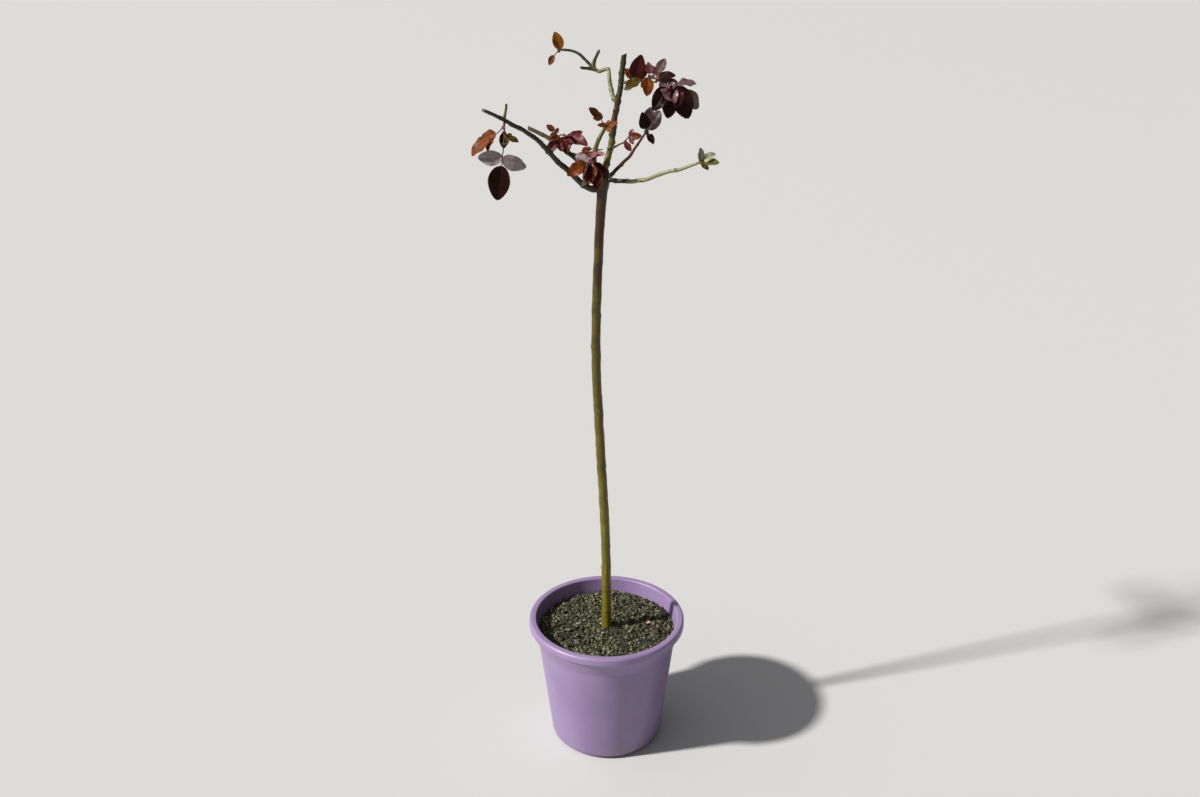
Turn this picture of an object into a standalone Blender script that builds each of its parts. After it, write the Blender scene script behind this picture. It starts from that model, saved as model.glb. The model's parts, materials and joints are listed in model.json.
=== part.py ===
"""Potted standard rose: a bare stem with a pruned, lightly leafed head, in a round nursery pot.

Metres, +Z up. The origin is the centre of the pot's flat underside, -Y is the front.
A heading is a pair of angles in degrees: the turn from +X about +Z, then the rise above level.
"""
import random
from collections import namedtuple
from math import cos, pi, radians, sin

import bmesh
import bpy
from mathutils import Matrix, Vector
from mathutils.geometry import intersect_point_line

MM = 0.001
GAP = 0.3 * MM
WELD = 0.01 * MM
SHARP_ANGLE = 40

# Pot and soil
POT_HEIGHT = 0.260
RIM_RADIUS = 0.150
RIM_INNER_RADIUS = 0.1360
BEAD_DEPTH = 0.016
BEAD_ROUND = 0.005
BEAD_EDGE_ROUND = 0.003
SHOULDER_HEIGHT = 0.212
SHOULDER_ROUND = 0.003
BODY_TOP_RADIUS = 0.132
BASE_RADIUS = 0.1085
FOOT_ROUND = 0.015
POT_WALL = 0.0035
POT_STEPS = 44
ARC_STEPS = 3
DRAIN_COUNT = 6
RECESS_SIZE = (0.046, 0.040, 0.0025)
RECESS_RADIUS = 0.101
DRAIN_HOLE_RADIUS = 0.006
DRAIN_HOLE_AT = 0.088
SOIL_TOP = 0.236
SOIL_EDGE = 0.012
SOIL_EDGE_DROP = 0.002

# Stem: height against sideways lean, and height against radius
STEM_LEAN = ((0.230, 0.0), (0.420, -0.002), (0.610, -0.0115), (0.810, -0.020), (1.010, -0.0145),
             (1.114, -0.0085))
STEM_RADII = ((0.236, 0.0100), (0.246, 0.0093), (0.276, 0.0089), (0.500, 0.0086), (0.800, 0.0082),
              (1.060, 0.0080), (1.092, 0.0092), (1.104, 0.0122), (1.120, 0.0124), (1.131, 0.0090))
STEM_STEP = 0.040
HEAD_STEP = 0.006
HEAD_FROM = 1.086
HEAD_TOP = 1.136
HEAD_TIP_RADIUS = 0.0045
TRUNK_RESOLUTION = 4
BOUGH_RESOLUTION = 2

# Foliage
LEAF_THICKNESS = 0.8 * MM
LEAF_WIDTH_SHARE = 0.66
LEAF_STATIONS = 4
LEAF_FOLD = 0.28
LEAF_CURL = 0.16
LEAF_SINK = 2.0 * MM
STALK_RADIUS = 1.0 * MM
STALK_STEPS = 4
PAIR_PLACES = {1: (), 3: (0.62,), 5: (0.72, 0.44)}
PAIR_SIZES = (0.74, 0.58)
PAIR_ROLLS = (11.0, 18.0)
PAIR_STAGGER = 0.03
ROOT_WIDTH = 0.03
LIMB_CLEARANCE = 1.5 * MM
STEM_START = 2.0 * MM
TWIG_RADIUS = 0.9 * MM
TWIG_TURN = 137.5

# A limb grows from its parent at a share of the parent's length, by headings and lengths in mm.
Limb = namedtuple("Limb", "name parent at steps base tip")
LIMBS = (
    Limb("bough_left_front", "trunk", (-0.0145, -0.003, 1.096),
         ((-165, 5, 20), (-162, 43, 43), (-148, 45, 43), (-147, 46, 32), (-157, 41, 28), (-157, 28, 23),
          (-150, 31, 33), (-151, 26, 32)), 5.4, 2.7),
    Limb("bough_left_back", "trunk", (-0.0125, 0.006, 1.116),
         ((146, 16, 30), (153, 39, 39), (153, 27, 35), (151, 26, 27), (157, 18, 28)), 4.4, 3.2),
    Limb("bough_leader", "trunk", (-0.0075, 0.0, 1.118),
         ((0, 76, 14), (46, 66, 17), (39, 68, 17), (43, 83, 37), (31, 75, 22), (30, 79, 29), (26, 78, 20),
          (52, 83, 23), (37, 82, 22)), 5.4, 4.3),
    Limb("bough_second_leader", "trunk", (-0.0145, -0.004, 1.122),
         ((-154, 60, 18), (-61, 83, 28), (19, 65, 21), (24, 57, 10)), 4.5, 3.3),
    Limb("bough_right_rise", "trunk", (-0.0025, 0.006, 1.113),
         ((48, 15, 17), (50, 25, 14), (45, 32, 37), (50, 39, 30), (56, 30, 18)), 3.6, 1.9),
    Limb("bough_right_low", "trunk", (-0.0045, -0.003, 1.112),
         ((-30, 3, 15), (-29, 0, 32), (-37, 17, 30), (-25, 20, 34), (-23, 21, 22), (-28, 19, 24),
          (-19, 23, 16)), 3.9, 2.5),
    Limb("bough_back", "trunk", (-0.0095, 0.006, 1.110),
         ((112, 8, 34), (104, 14, 28), (110, 4, 24)), 4.0, 2.6),
    Limb("spur_left", "bough_left_front", 0.84, ((44, 73, 12), (53, 79, 14)), 2.2, 1.9),
    Limb("spur_left_hanging", "bough_left_front", 0.835, ((-87, -24, 14),), 1.9, 1.5),
    Limb("spur_left_back", "bough_left_back", 0.66, ((-62, 26, 9), (-40, 20, 6)), 2.0, 1.6),
    Limb("spur_leader_left", "bough_leader", 0.60, ((132, 42, 22), (104, 66, 38)), 3.8, 3.1),
    Limb("spur_leader_right", "bough_leader", 0.765, ((-30, 12, 8), (-18, 14, 10)), 2.2, 1.7),
    Limb("spur_leader_low", "bough_leader", 0.235, ((-41, 22, 16), (-41, 26, 12)), 1.9, 1.4),
    Limb("spur_head_front", "trunk", (-0.0115, -0.004, 1.117), ((-112, 26, 14), (-112, 34, 8)), 2.6, 2.1),
)

# A leaf: where on its mass's stem, the way its blade points and faces, stalk and blade in mm.
Leaf = namedtuple("Leaf", "at blade_way stalk blade leaflets facing spread", defaults=(1, (-90, 40), 66))
# A mass: the limb it grows from, its stem's steps in mm, the half sizes of its space, its own leaves,
# how many more the rule grows, and the rule's seed.
Mass = namedtuple("Mass", "name limb steps space leaves more seed")
MASSES = (
    Mass("foliage_left_hanging", "spur_left_hanging", ((-94, -67, 26),), (84, 48, 120),
         (Leaf(0.02, (-176, -34), 33, 38, 3, (-112, 48), 30),
          Leaf(0.58, (-8, -14), 9, 16, 3, (-80, 50)),
          Leaf(0.34, (-95, -66), 5, 22, 1, (-90, 10)),
          Leaf(0.95, (-146, -79), 39, 54, 3, (-92, 14), 76)), 0, 11),
    Mass("foliage_left_back", "spur_left_back", ((-40, 24, 10), (-30, 10, 10)), (76, 60, 60),
         (Leaf(0.95, (-36, -10), 10, 31, 5, (-96, 48)),
          Leaf(0.35, (-160, -38), 12, 26, 3, (-96, 35)),
          Leaf(0.10, (166, 40), 17, 15, 3, (-90, 30)),
          Leaf(0.60, (-70, -66), 8, 22, 1, (-90, 20)),
          Leaf(0.92, (-92, 20), 6, 20, 3, (-86, 40))), 0, 23),
    Mass("foliage_head_front", "spur_head_front", ((-116, 52, 16), (-124, 58, 16)), (68, 56, 60),
         (Leaf(0.70, (-158, -22), 11, 36, 3, (-80, 40)),
          Leaf(0.75, (-66, -54), 8, 38, 1, (-75, 15)),
          Leaf(0.95, (-124, -72), 8, 40, 1, (-30, 10)),
          Leaf(0.80, (-100, -50), 4, 36, 1, (-90, 40)),
          Leaf(0.90, (-40, 26), 10, 22, 3, (-90, 60))), 0, 5),
    Mass("foliage_top_left", "spur_leader_left",
         ((158, -12, 11), (157, -36, 8), (154, 36, 21), (160, 42, 31), (172, 3, 29)), (80, 44, 76),
         (Leaf(0.97, (-168, 72), 3, 27, 1, (-90, 20)),
          Leaf(0.98, (-170, -56), 16, 16, 1, (-90, 40)),
          Leaf(0.28, (-159, 4), 10, 15, 1, (-90, 60)),
          Leaf(0.32, (-24, 62), 15, 15, 1, (-90, 20))), 0, 7),
    Mass("foliage_top_right", "spur_leader_right", ((-18, 12, 34), (-26, -12, 44)), (108, 80, 96),
         (Leaf(0.05, (-56, 66), 6, 38, 1, (-92, 14)),
          Leaf(0.22, (-170, -24), 5, 28, 1, (-90, 50)),
          Leaf(0.36, (-96, -52), 3, 28, 1, (-84, 30)),
          Leaf(0.38, (-120, 72), 10, 17, 1, (-90, 30)),
          Leaf(0.44, (-6, 60), 15, 23, 3, (-90, 20)),
          Leaf(0.55, (-24, -34), 9, 50, 1, (-92, 42)),
          Leaf(0.80, (-142, -50), 12, 40, 1, (-78, 38)),
          Leaf(0.97, (-22, -67), 6, 53, 1, (-90, 10)),
          Leaf(0.86, (-112, -71), 14, 43, 1, (-88, 6)),
          Leaf(0.97, (0, 6), 6, 28, 1, (-90, 60)),
          Leaf(0.97, (12, -46), 20, 38, 1, (-70, 10)),
          Leaf(0.54, (-20, 16), 6, 26, 1, (-90, 40))), 1, 31),
    Mass("foliage_right_rise", "bough_right_rise", ((58, 20, 6),), (56, 48, 54),
         (Leaf(0.80, (-50, 78), 7, 37, 1, (-100, 8)),
          Leaf(0.95, (14, 56), 8, 36, 1, (-80, 22)),
          Leaf(0.60, (-110, 60), 10, 30, 1, (-90, 22)),
          Leaf(0.90, (-50, -42), 6, 18, 1, (-80, 20))), 0, 6),
    Mass("foliage_leader_low", "spur_leader_low", ((-30, 48, 14),), (36, 36, 38),
         (Leaf(0.95, (-24, 8), 5, 18, 3, (-90, 15)),
          Leaf(0.20, (-36, -45), 4, 15, 1, (-90, 20))), 0, 13),
    Mass("foliage_second_leader", "bough_second_leader", ((20, 62, 7),), (56, 40, 54),
         (Leaf(0.60, (-152, 42), 27, 18, 3, (-90, 20), 30),
          Leaf(0.50, (-24, 26), 8, 17, 3, (-90, 40)),
          Leaf(0.90, (-170, 8), 4, 10, 1, (-90, 30))), 0, 17),
    Mass("foliage_right_low", "bough_right_low", ((-24, 22, 5),), (42, 40, 40),
         (Leaf(0.60, (-60, 82), 6, 18, 1, (-60, 10)),
          Leaf(0.80, (-5, 34), 8, 20, 1, (-90, 40)),
          Leaf(0.95, (-16, 4), 8, 22, 1, (-90, 50)),
          Leaf(0.80, (-43, -30), 6, 13, 1, (-90, 20))), 0, 41),
    Mass("foliage_back", "bough_back", ((104, 12, 14),), (64, 64, 50), (), 5, 19),
)

LEAF_COLOUR = (0.055, 0.020, 0.028, 1.0)
YOUNG_LEAF_COLOUR = (0.36, 0.12, 0.035, 1.0)
STEM_COLOUR = (0.17, 0.135, 0.045, 1.0)
SHOOT_COLOUR = (0.30, 0.33, 0.11, 1.0)
POT_COLOUR = (0.36, 0.24, 0.50, 1.0)
SOIL_COLOUR = (0.10, 0.11, 0.07, 1.0)
GREEN_LIMBS = ("bough_right_low", "spur_leader_left", "spur_left")
YOUNG_MASSES = ("foliage_top_left", "foliage_second_leader", "foliage_leader_low")


def heading(turn, rise):
    """The unit vector of a heading."""
    t, r = radians(turn), radians(rise)
    return Vector((cos(t) * cos(r), sin(t) * cos(r), sin(r)))


def blend(pairs, key):
    """Read a smooth curve through (key, value) pairs at key."""
    keys = [pair[0] for pair in pairs]
    values = [pair[1] for pair in pairs]
    last = len(keys) - 1
    i = max(0, min(last - 1, sum(k <= key for k in keys) - 1))
    share = (key - keys[i]) / (keys[i + 1] - keys[i])
    share = max(0.0, min(1.0, share))
    before, after = values[max(i - 1, 0)], values[min(i + 2, last)]
    a, b = values[i], values[i + 1]
    return 0.5 * (2 * a + (b - before) * share + (2 * before - 5 * a + 4 * b - after) * share ** 2
                  + (3 * a - before - 3 * b + after) * share ** 3)


def straight(pairs, key):
    """Read (key, value) pairs at key along straight lines."""
    for (k0, v0), (k1, v1) in zip(pairs, pairs[1:]):
        if key <= k1:
            return v0 + (v1 - v0) * max(0.0, key - k0) / (k1 - k0)
    return pairs[-1][1]


def walk(start, steps):
    """The points reached from start by (turn, rise, length in mm) steps."""
    points = [Vector(start)]
    for turn, rise, length in steps:
        points.append(points[-1] + heading(turn, rise) * length * MM)
    return points


def eased(points):
    """Round a path's corners once, keeping its ends."""
    path = [points[0]]
    for a, b in zip(points, points[1:]):
        path += [a.lerp(b, 0.25), a.lerp(b, 0.75)]
    return path + [points[-1]]


def point_on(path, share):
    """The point at a share of a path's length."""
    lengths = [(b - a).length for a, b in zip(path, path[1:])]
    left = share * sum(lengths)
    for a, b, length in zip(path, path[1:], lengths):
        if left <= length:
            return a.lerp(b, left / length)
        left -= length
    return path[-1].copy()


def tapered(path, base, tip):
    """A radius for each point of a path, thinning evenly from base to tip."""
    lengths = [0.0]
    for a, b in zip(path, path[1:]):
        lengths.append(lengths[-1] + (b - a).length)
    return [base + (tip - base) * length / lengths[-1] for length in lengths]


# Growth: the same for the solids and for any finer version of them

def trunk_path():
    """The stem's centre line and radii, from the flat cut at the soil to the top of its swollen head."""
    heights = []
    z = SOIL_TOP + GAP
    while z < HEAD_TOP - HEAD_STEP / 2:
        heights.append(z)
        z += STEM_STEP if z < HEAD_FROM - STEM_STEP else HEAD_STEP
    heights.append(HEAD_TOP)
    path = [Vector((blend(STEM_LEAN, z), 0.0, z)) for z in heights]
    path[1] = Vector((path[0].x, 0.0, path[1].z))
    return path, [straight(STEM_RADII, z) for z in heights[:-1]] + [HEAD_TIP_RADIUS]


def limb_paths():
    """Every limb's centre line and radii by name, the trunk first."""
    paths = {"trunk": trunk_path()}
    for limb in LIMBS:
        if limb.parent == "trunk":
            start = limb.at
        else:
            start = point_on(paths[limb.parent][0], limb.at)
        path = eased(walk(start, limb.steps))
        paths[limb.name] = path, tapered(path, limb.base * MM, limb.tip * MM)
    return paths


def square_to(way, facing):
    """The unit vector nearest to facing that is square to way."""
    return (facing - way * facing.dot(way)).normalized()


def leaf_growth(leaf, stem):
    """A leaf's stalk path, and for each leaflet its root, way, face and length."""
    way = heading(*leaf.blade_way)
    along = (point_on(stem, min(1.0, leaf.at + 0.02)) - point_on(stem, max(0.0, leaf.at - 0.02))).normalized()
    outset = (along + way * 1.4).normalized()
    stalk = [point_on(stem, leaf.at)]
    for i in range(STALK_STEPS):
        step_way = outset.lerp(way, (i + 0.5) / STALK_STEPS).normalized()
        stalk.append(stalk[-1] + step_way * leaf.stalk * MM / STALK_STEPS)
    face = square_to(way, heading(*leaf.facing))
    leaflets = [(stalk[-1] - way * LEAF_SINK, way, face, leaf.blade * MM + LEAF_SINK)]
    for place, size, roll in zip(PAIR_PLACES[leaf.leaflets], PAIR_SIZES, PAIR_ROLLS):
        for side in (-1, 1):
            side_way = Matrix.Rotation(radians(side * leaf.spread), 3, face) @ way
            side_face = Matrix.Rotation(radians(side * roll), 3, side_way) @ face
            root = point_on(stalk, place + side * PAIR_STAGGER)
            leaflets.append((root, side_way, side_face, leaf.blade * MM * size))
    return stalk, leaflets


def is_clear(point, path, radii):
    """Whether a point is clear of a limb."""
    for a, b, radius in zip(path, path[1:], radii):
        share = intersect_point_line(point, a, b)[1]
        if (point - a.lerp(b, max(0.0, min(1.0, share)))).length < radius + LIMB_CLEARANCE:
            return False
    return True


def leaf_fits(stalk, leaflets, centre, space, limbs):
    """Whether a leaf keeps to its mass's space and clear of the limbs."""
    samples = stalk[3:]
    for root, way, face, length in leaflets:
        side = face.cross(way) * length * LEAF_WIDTH_SHARE / 2
        middle = root + way * length * 0.45
        samples += [root + way * length, middle + side, middle - side]
    for point in samples:
        offset = point - centre
        if sum((offset[i] / (space[i] * MM)) ** 2 for i in range(3)) > 1:
            return False
        if not all(is_clear(point, path, radii) for path, radii in limbs.values()):
            return False
    return True


def mass_growth(mass, limbs):
    """A mass's stem path and radii, and the stalk and leaflets of each leaf that fits."""
    limb_path, limb_radii = limbs[mass.limb]
    way = (limb_path[-1] - limb_path[-2]).normalized()
    start = limb_path[-1] + way * GAP
    stem = [start] + eased(walk(start + way * STEM_START, mass.steps))
    centre = start.lerp(stem[-1], 0.5)
    rule = random.Random(mass.seed)
    turn = rule.uniform(0, 360)
    leaves = list(mass.leaves)
    for _ in range(mass.more):
        turn += TWIG_TURN
        rise = rule.uniform(-20, 40)
        leaves.append(Leaf(rule.uniform(0.3, 1.0), (turn, rise), rule.uniform(12, 24), rule.uniform(18, 28),
                           rule.choice((3, 5)), (turn, rise + 80)))
    grown = [leaf_growth(leaf, stem) for leaf in leaves]
    fitting = [growth for growth in grown if leaf_fits(*growth, centre, mass.space, limbs)]
    return stem, tapered(stem, limb_radii[-1], max(TWIG_RADIUS, limb_radii[-1] * 0.6)), fitting


# Solids

def new_collection(name):
    """Make a collection in the scene."""
    collection = bpy.data.collections.new(name)
    bpy.context.scene.collection.children.link(collection)
    return collection


def finish(name, colour, roughness):
    """A plain material."""
    material = bpy.data.materials.new(name)
    material.use_nodes = True
    shader = material.node_tree.nodes["Principled BSDF"]
    shader.inputs["Base Color"].default_value = colour
    shader.inputs["Roughness"].default_value = roughness
    shader.inputs["Metallic"].default_value = 0.0
    return material


def add_object(name, mesh, collection):
    """Put a mesh in a collection as a new object."""
    thing = bpy.data.objects.new(name, mesh)
    collection.objects.link(thing)
    return thing


def evaluated_mesh(thing):
    """An object's mesh with its modifiers or bevel applied."""
    graph = bpy.context.evaluated_depsgraph_get()
    graph.update()
    return bpy.data.meshes.new_from_object(thing.evaluated_get(graph))


def tube(name, path, radii, resolution, collection):
    """A closed tapering tube along a path."""
    curve = bpy.data.curves.new(name, "CURVE")
    curve.dimensions = "3D"
    curve.bevel_depth = 1.0
    curve.bevel_resolution = resolution
    curve.use_fill_caps = True
    spline = curve.splines.new("POLY")
    spline.points.add(len(path) - 1)
    for point, place, radius in zip(spline.points, path, radii):
        point.co = (*place, 1.0)
        point.radius = radius
    guide = add_object(name + "_curve", curve, collection)
    mesh = evaluated_mesh(guide)
    bpy.data.objects.remove(guide)
    shape = bmesh.new()
    shape.from_mesh(mesh)
    bmesh.ops.remove_doubles(shape, verts=shape.verts, dist=WELD)
    shape.to_mesh(mesh)
    shape.free()
    mesh.shade_smooth()
    mesh.set_sharp_from_angle(angle=radians(SHARP_ANGLE))
    return add_object(name, mesh, collection)


def turned(name, profile, steps, collection):
    """A solid turned about Z from a profile of (radius, height) points."""
    mesh = bpy.data.meshes.new(name)
    edges = [(i, i + 1) for i in range(len(profile) - 1)]
    mesh.from_pydata([(radius, 0.0, height) for radius, height in profile], edges, [])
    thing = add_object(name, mesh, collection)
    screw = thing.modifiers.new("turn", "SCREW")
    screw.steps = steps
    screw.render_steps = steps
    screw.use_merge_vertices = True
    screw.merge_threshold = WELD
    screw.use_smooth_shade = True
    return thing


def arc(radius, height, size, start, end, count):
    """Points on a quarter or so of a circle, in a profile."""
    points = []
    for i in range(count + 1):
        angle = radians(start + (end - start) * i / count)
        points.append((radius + size * cos(angle), height + size * sin(angle)))
    return points


def inner_foot(clearance):
    """The pot's inner profile round the edge of its floor, moved in by a clearance."""
    inset = POT_WALL + clearance
    return arc(BASE_RADIUS - FOOT_ROUND, FOOT_ROUND, FOOT_ROUND - inset, -90, 0, ARC_STEPS)


def make_pot(collection, cutters):
    """The pot: a turned shell with a thick rolled rim, drainage recesses under its foot and holes."""
    bead_foot = POT_HEIGHT - BEAD_DEPTH
    edge = BEAD_EDGE_ROUND
    profile = [(0.0, POT_WALL)] + inner_foot(0.0)
    profile.append((BODY_TOP_RADIUS - POT_WALL, SHOULDER_HEIGHT))
    profile += arc(RIM_INNER_RADIUS + edge, POT_HEIGHT - edge, edge, 180, 90, ARC_STEPS)
    profile += arc(RIM_RADIUS - BEAD_ROUND, POT_HEIGHT - BEAD_ROUND, BEAD_ROUND, 90, 0, ARC_STEPS)
    profile += arc(RIM_RADIUS - edge, bead_foot + edge, edge, 0, -90, ARC_STEPS)
    profile.append((BODY_TOP_RADIUS + SHOULDER_ROUND / 2, SHOULDER_HEIGHT + SHOULDER_ROUND))
    profile.append((BODY_TOP_RADIUS, SHOULDER_HEIGHT - SHOULDER_ROUND))
    profile += arc(BASE_RADIUS - FOOT_ROUND, FOOT_ROUND, FOOT_ROUND, 0, -90, ARC_STEPS)
    profile.append((0.0, 0.0))
    pot = turned("pot", profile, POT_STEPS, collection)
    for i in range(DRAIN_COUNT):
        turn = radians(-90 + (i + 0.5) * 360 / DRAIN_COUNT)
        way = Vector((cos(turn), sin(turn), 0.0))
        bpy.ops.mesh.primitive_cube_add(size=1.0, location=way * RECESS_RADIUS,
                                        rotation=(0, 0, turn + pi / 2))
        recess = bpy.context.object
        recess.scale = (RECESS_SIZE[0], RECESS_SIZE[1], RECESS_SIZE[2] * 2)
        bpy.ops.mesh.primitive_cylinder_add(vertices=12, radius=DRAIN_HOLE_RADIUS, depth=POT_WALL * 4,
                                            location=way * DRAIN_HOLE_AT)
        for cutter in (recess, bpy.context.object):
            set_aside(cutter, cutters)
    cut = pot.modifiers.new("drainage", "BOOLEAN")
    cut.operand_type = "COLLECTION"
    cut.collection = cutters
    cut.solver = "EXACT"
    return pot


def set_aside(cutter, cutters):
    """Keep a cutter in its own collection, out of the model."""
    for collection in cutter.users_collection:
        collection.objects.unlink(cutter)
    cutters.objects.link(cutter)
    cutter.hide_render = True
    cutter.display_type = "WIRE"


def inner_radius(height):
    """The inner radius of the pot's upper wall at a height."""
    low = BODY_TOP_RADIUS - POT_WALL
    share = (height - SHOULDER_HEIGHT) / (POT_HEIGHT - BEAD_EDGE_ROUND - SHOULDER_HEIGHT)
    return low + (RIM_INNER_RADIUS - low) * share


def make_soil(collection):
    """The soil that fills the pot, with a level top for the stem to stand on."""
    edge_height = SOIL_TOP - SOIL_EDGE_DROP
    edge = inner_radius(edge_height) - GAP
    profile = [(0.0, POT_WALL + GAP)] + inner_foot(GAP)
    profile += [(inner_radius(SHOULDER_HEIGHT) - GAP, SHOULDER_HEIGHT), (edge, edge_height)]
    profile += [(edge - SOIL_EDGE, SOIL_TOP), (0.0, SOIL_TOP)]
    profile.reverse()
    return turned("soil", profile, POT_STEPS, collection)


def make_limb(name, path, radii, resolution, collection, parent_cutter):
    """A trunk, bough or spur, cut clear of the limb that it grows from."""
    limb = tube(name, path, radii, resolution, collection)
    if parent_cutter is not None:
        cut = limb.modifiers.new("meet_" + parent_cutter.name, "BOOLEAN")
        cut.object = parent_cutter
        cut.solver = "EXACT"
    return limb


def make_cutter(name, path, radii, resolution, cutters):
    """A limb's cutter: the limb grown by the gap that its offshoots keep to it."""
    onward = (path[-1] - path[-2]).normalized()
    longer = path[:-1] + [path[-1] + onward * GAP]
    cutter = tube("cutter_" + name, longer, [radius + GAP for radius in radii], resolution, cutters)
    set_aside(cutter, cutters)
    return cutter


def leaflet_surface(root, way, face, length, u, v):
    """A point of a leaflet's blade: u along it from root to tip, v across it from edge to edge."""
    half_width = LEAF_WIDTH_SHARE / 2 * max(sin(pi * min(u, 1.0) ** 0.85), 0.0) ** 0.6
    half_width = max(half_width, ROOT_WIDTH * (1 - u))
    side = face.cross(way)
    height = LEAF_FOLD * abs(v) * half_width - LEAF_CURL * u * u
    return root + length * (way * u + side * v * half_width + face * height)


def make_leaflet(name, growth, collection):
    """A leaflet: a thin folded blade, its root sunk into its stalk."""
    root, way, face, length = growth
    shape = bmesh.new()
    bmesh.ops.create_grid(shape, x_segments=LEAF_STATIONS, y_segments=2, size=0.5)
    for vert in shape.verts:
        u, v = vert.co.x + 0.5, vert.co.y * 2
        vert.co = leaflet_surface(root, way, face, length, u, v)
    bmesh.ops.remove_doubles(shape, verts=shape.verts, dist=WELD)
    mesh = bpy.data.meshes.new(name)
    shape.to_mesh(mesh)
    shape.free()
    leaflet = add_object(name, mesh, collection)
    thicken = leaflet.modifiers.new("thicken", "SOLIDIFY")
    thicken.thickness = LEAF_THICKNESS
    thicken.offset = 0.0
    return leaflet


def make_mass(mass, limbs, collection):
    """A mass of foliage: its stem, with every stalk and leaflet joined to it in one union."""
    stem, radii, leaves = mass_growth(mass, limbs)
    thing = tube(mass.name, stem, radii, 0, collection)
    pieces = new_collection(mass.name + "_pieces")
    for i, (stalk, leaflets) in enumerate(leaves):
        tube(f"stalk_{i}", stalk, tapered(stalk, STALK_RADIUS, STALK_RADIUS * 0.8), 0, pieces)
        for j, growth in enumerate(leaflets):
            make_leaflet(f"leaflet_{i}_{j}", growth, pieces)
    join = thing.modifiers.new("join", "BOOLEAN")
    join.operation = "UNION"
    join.operand_type = "COLLECTION"
    join.collection = pieces
    join.solver = "EXACT"
    mesh = evaluated_mesh(thing)
    thing.modifiers.remove(join)
    thing.data = mesh
    for piece in list(pieces.objects):
        bpy.data.objects.remove(piece)
    bpy.data.collections.remove(pieces)
    return thing


def build():
    """Build the whole plant in its pot."""
    for thing in list(bpy.data.objects):
        bpy.data.objects.remove(thing)
    parts = new_collection("potted_standard_rose")
    cutters = new_collection("cutters")
    drainage = new_collection("drainage_cutters")
    bark = finish("stem_green_bark", STEM_COLOUR, 0.6)
    shoot = finish("young_shoot", SHOOT_COLOUR, 0.55)
    old_leaf = finish("dark_leaf", LEAF_COLOUR, 0.45)
    young_leaf = finish("young_leaf", YOUNG_LEAF_COLOUR, 0.5)
    make_pot(parts, drainage).data.materials.append(finish("pot_plastic", POT_COLOUR, 0.5))
    make_soil(parts).data.materials.append(finish("soil", SOIL_COLOUR, 0.95))
    limbs = limb_paths()
    parents = {limb.name: limb.parent for limb in LIMBS}
    limb_cutters = {}
    for name, (path, radii) in limbs.items():
        resolution = TRUNK_RESOLUTION if name == "trunk" else BOUGH_RESOLUTION
        if name in parents.values():
            limb_cutters[name] = make_cutter(name, path, radii, resolution, cutters)
        cutter = limb_cutters[parents[name]] if name in parents else None
        limb = make_limb(name, path, radii, resolution, parts, cutter)
        limb.data.materials.append(shoot if name in GREEN_LIMBS else bark)
    for mass in MASSES:
        foliage = make_mass(mass, limbs, parts)
        foliage.data.materials.clear()
        foliage.data.materials.append(young_leaf if mass.name in YOUNG_MASSES else old_leaf)


build()
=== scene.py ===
"""Looks of the potted standard rose: bark, cut ends, buds, prickles, leaves, pot and potting grit.

Metres, +Z up, -Y the front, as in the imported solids. A heading is a pair of angles in degrees:
the turn from +X about +Z, then the rise above level.
"""
import json
import random
from collections import namedtuple
from math import cos, exp, pi, radians, sin, tau

import bmesh
import bpy
from mathutils import Matrix, Vector, noise
from mathutils.geometry import intersect_point_line

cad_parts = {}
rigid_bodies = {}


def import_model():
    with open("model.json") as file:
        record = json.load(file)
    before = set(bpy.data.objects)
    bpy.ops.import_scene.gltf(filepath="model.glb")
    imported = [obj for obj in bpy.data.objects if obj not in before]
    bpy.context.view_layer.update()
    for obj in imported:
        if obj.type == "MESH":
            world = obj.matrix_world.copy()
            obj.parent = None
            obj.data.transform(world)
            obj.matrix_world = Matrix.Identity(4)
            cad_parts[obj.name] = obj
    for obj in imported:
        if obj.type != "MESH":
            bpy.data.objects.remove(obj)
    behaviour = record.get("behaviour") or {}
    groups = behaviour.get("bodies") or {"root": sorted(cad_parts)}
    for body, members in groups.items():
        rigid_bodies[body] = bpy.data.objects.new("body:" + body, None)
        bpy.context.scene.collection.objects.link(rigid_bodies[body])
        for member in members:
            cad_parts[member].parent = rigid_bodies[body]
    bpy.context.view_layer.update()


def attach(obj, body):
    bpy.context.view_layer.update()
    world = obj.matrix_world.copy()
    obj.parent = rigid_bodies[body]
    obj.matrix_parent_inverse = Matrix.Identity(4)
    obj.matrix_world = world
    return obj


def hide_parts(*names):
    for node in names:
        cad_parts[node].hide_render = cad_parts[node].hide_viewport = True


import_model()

MM = 0.001
BODY = "root"

# Camera and stage
CAMERA_AT = (-0.0128, -1.988, 1.547)
CAMERA_DIP = 22.69
CAMERA_LENS = 36.0
CAMERA_SENSOR = 36.0
FLOOR_SIZE = 80.0
FLOOR_COLOUR = (0.50, 0.505, 0.515)
SKY_LEFT = (0.50, 0.50, 0.50)
SKY_RIGHT = (0.09, 0.09, 0.09)
SUN_HEADING = (-163, 39)
SUN_STRENGTH = 5.7
SUN_SPREAD = 3.5
SUN_COLOUR = (1.0, 0.965, 0.90)

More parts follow.
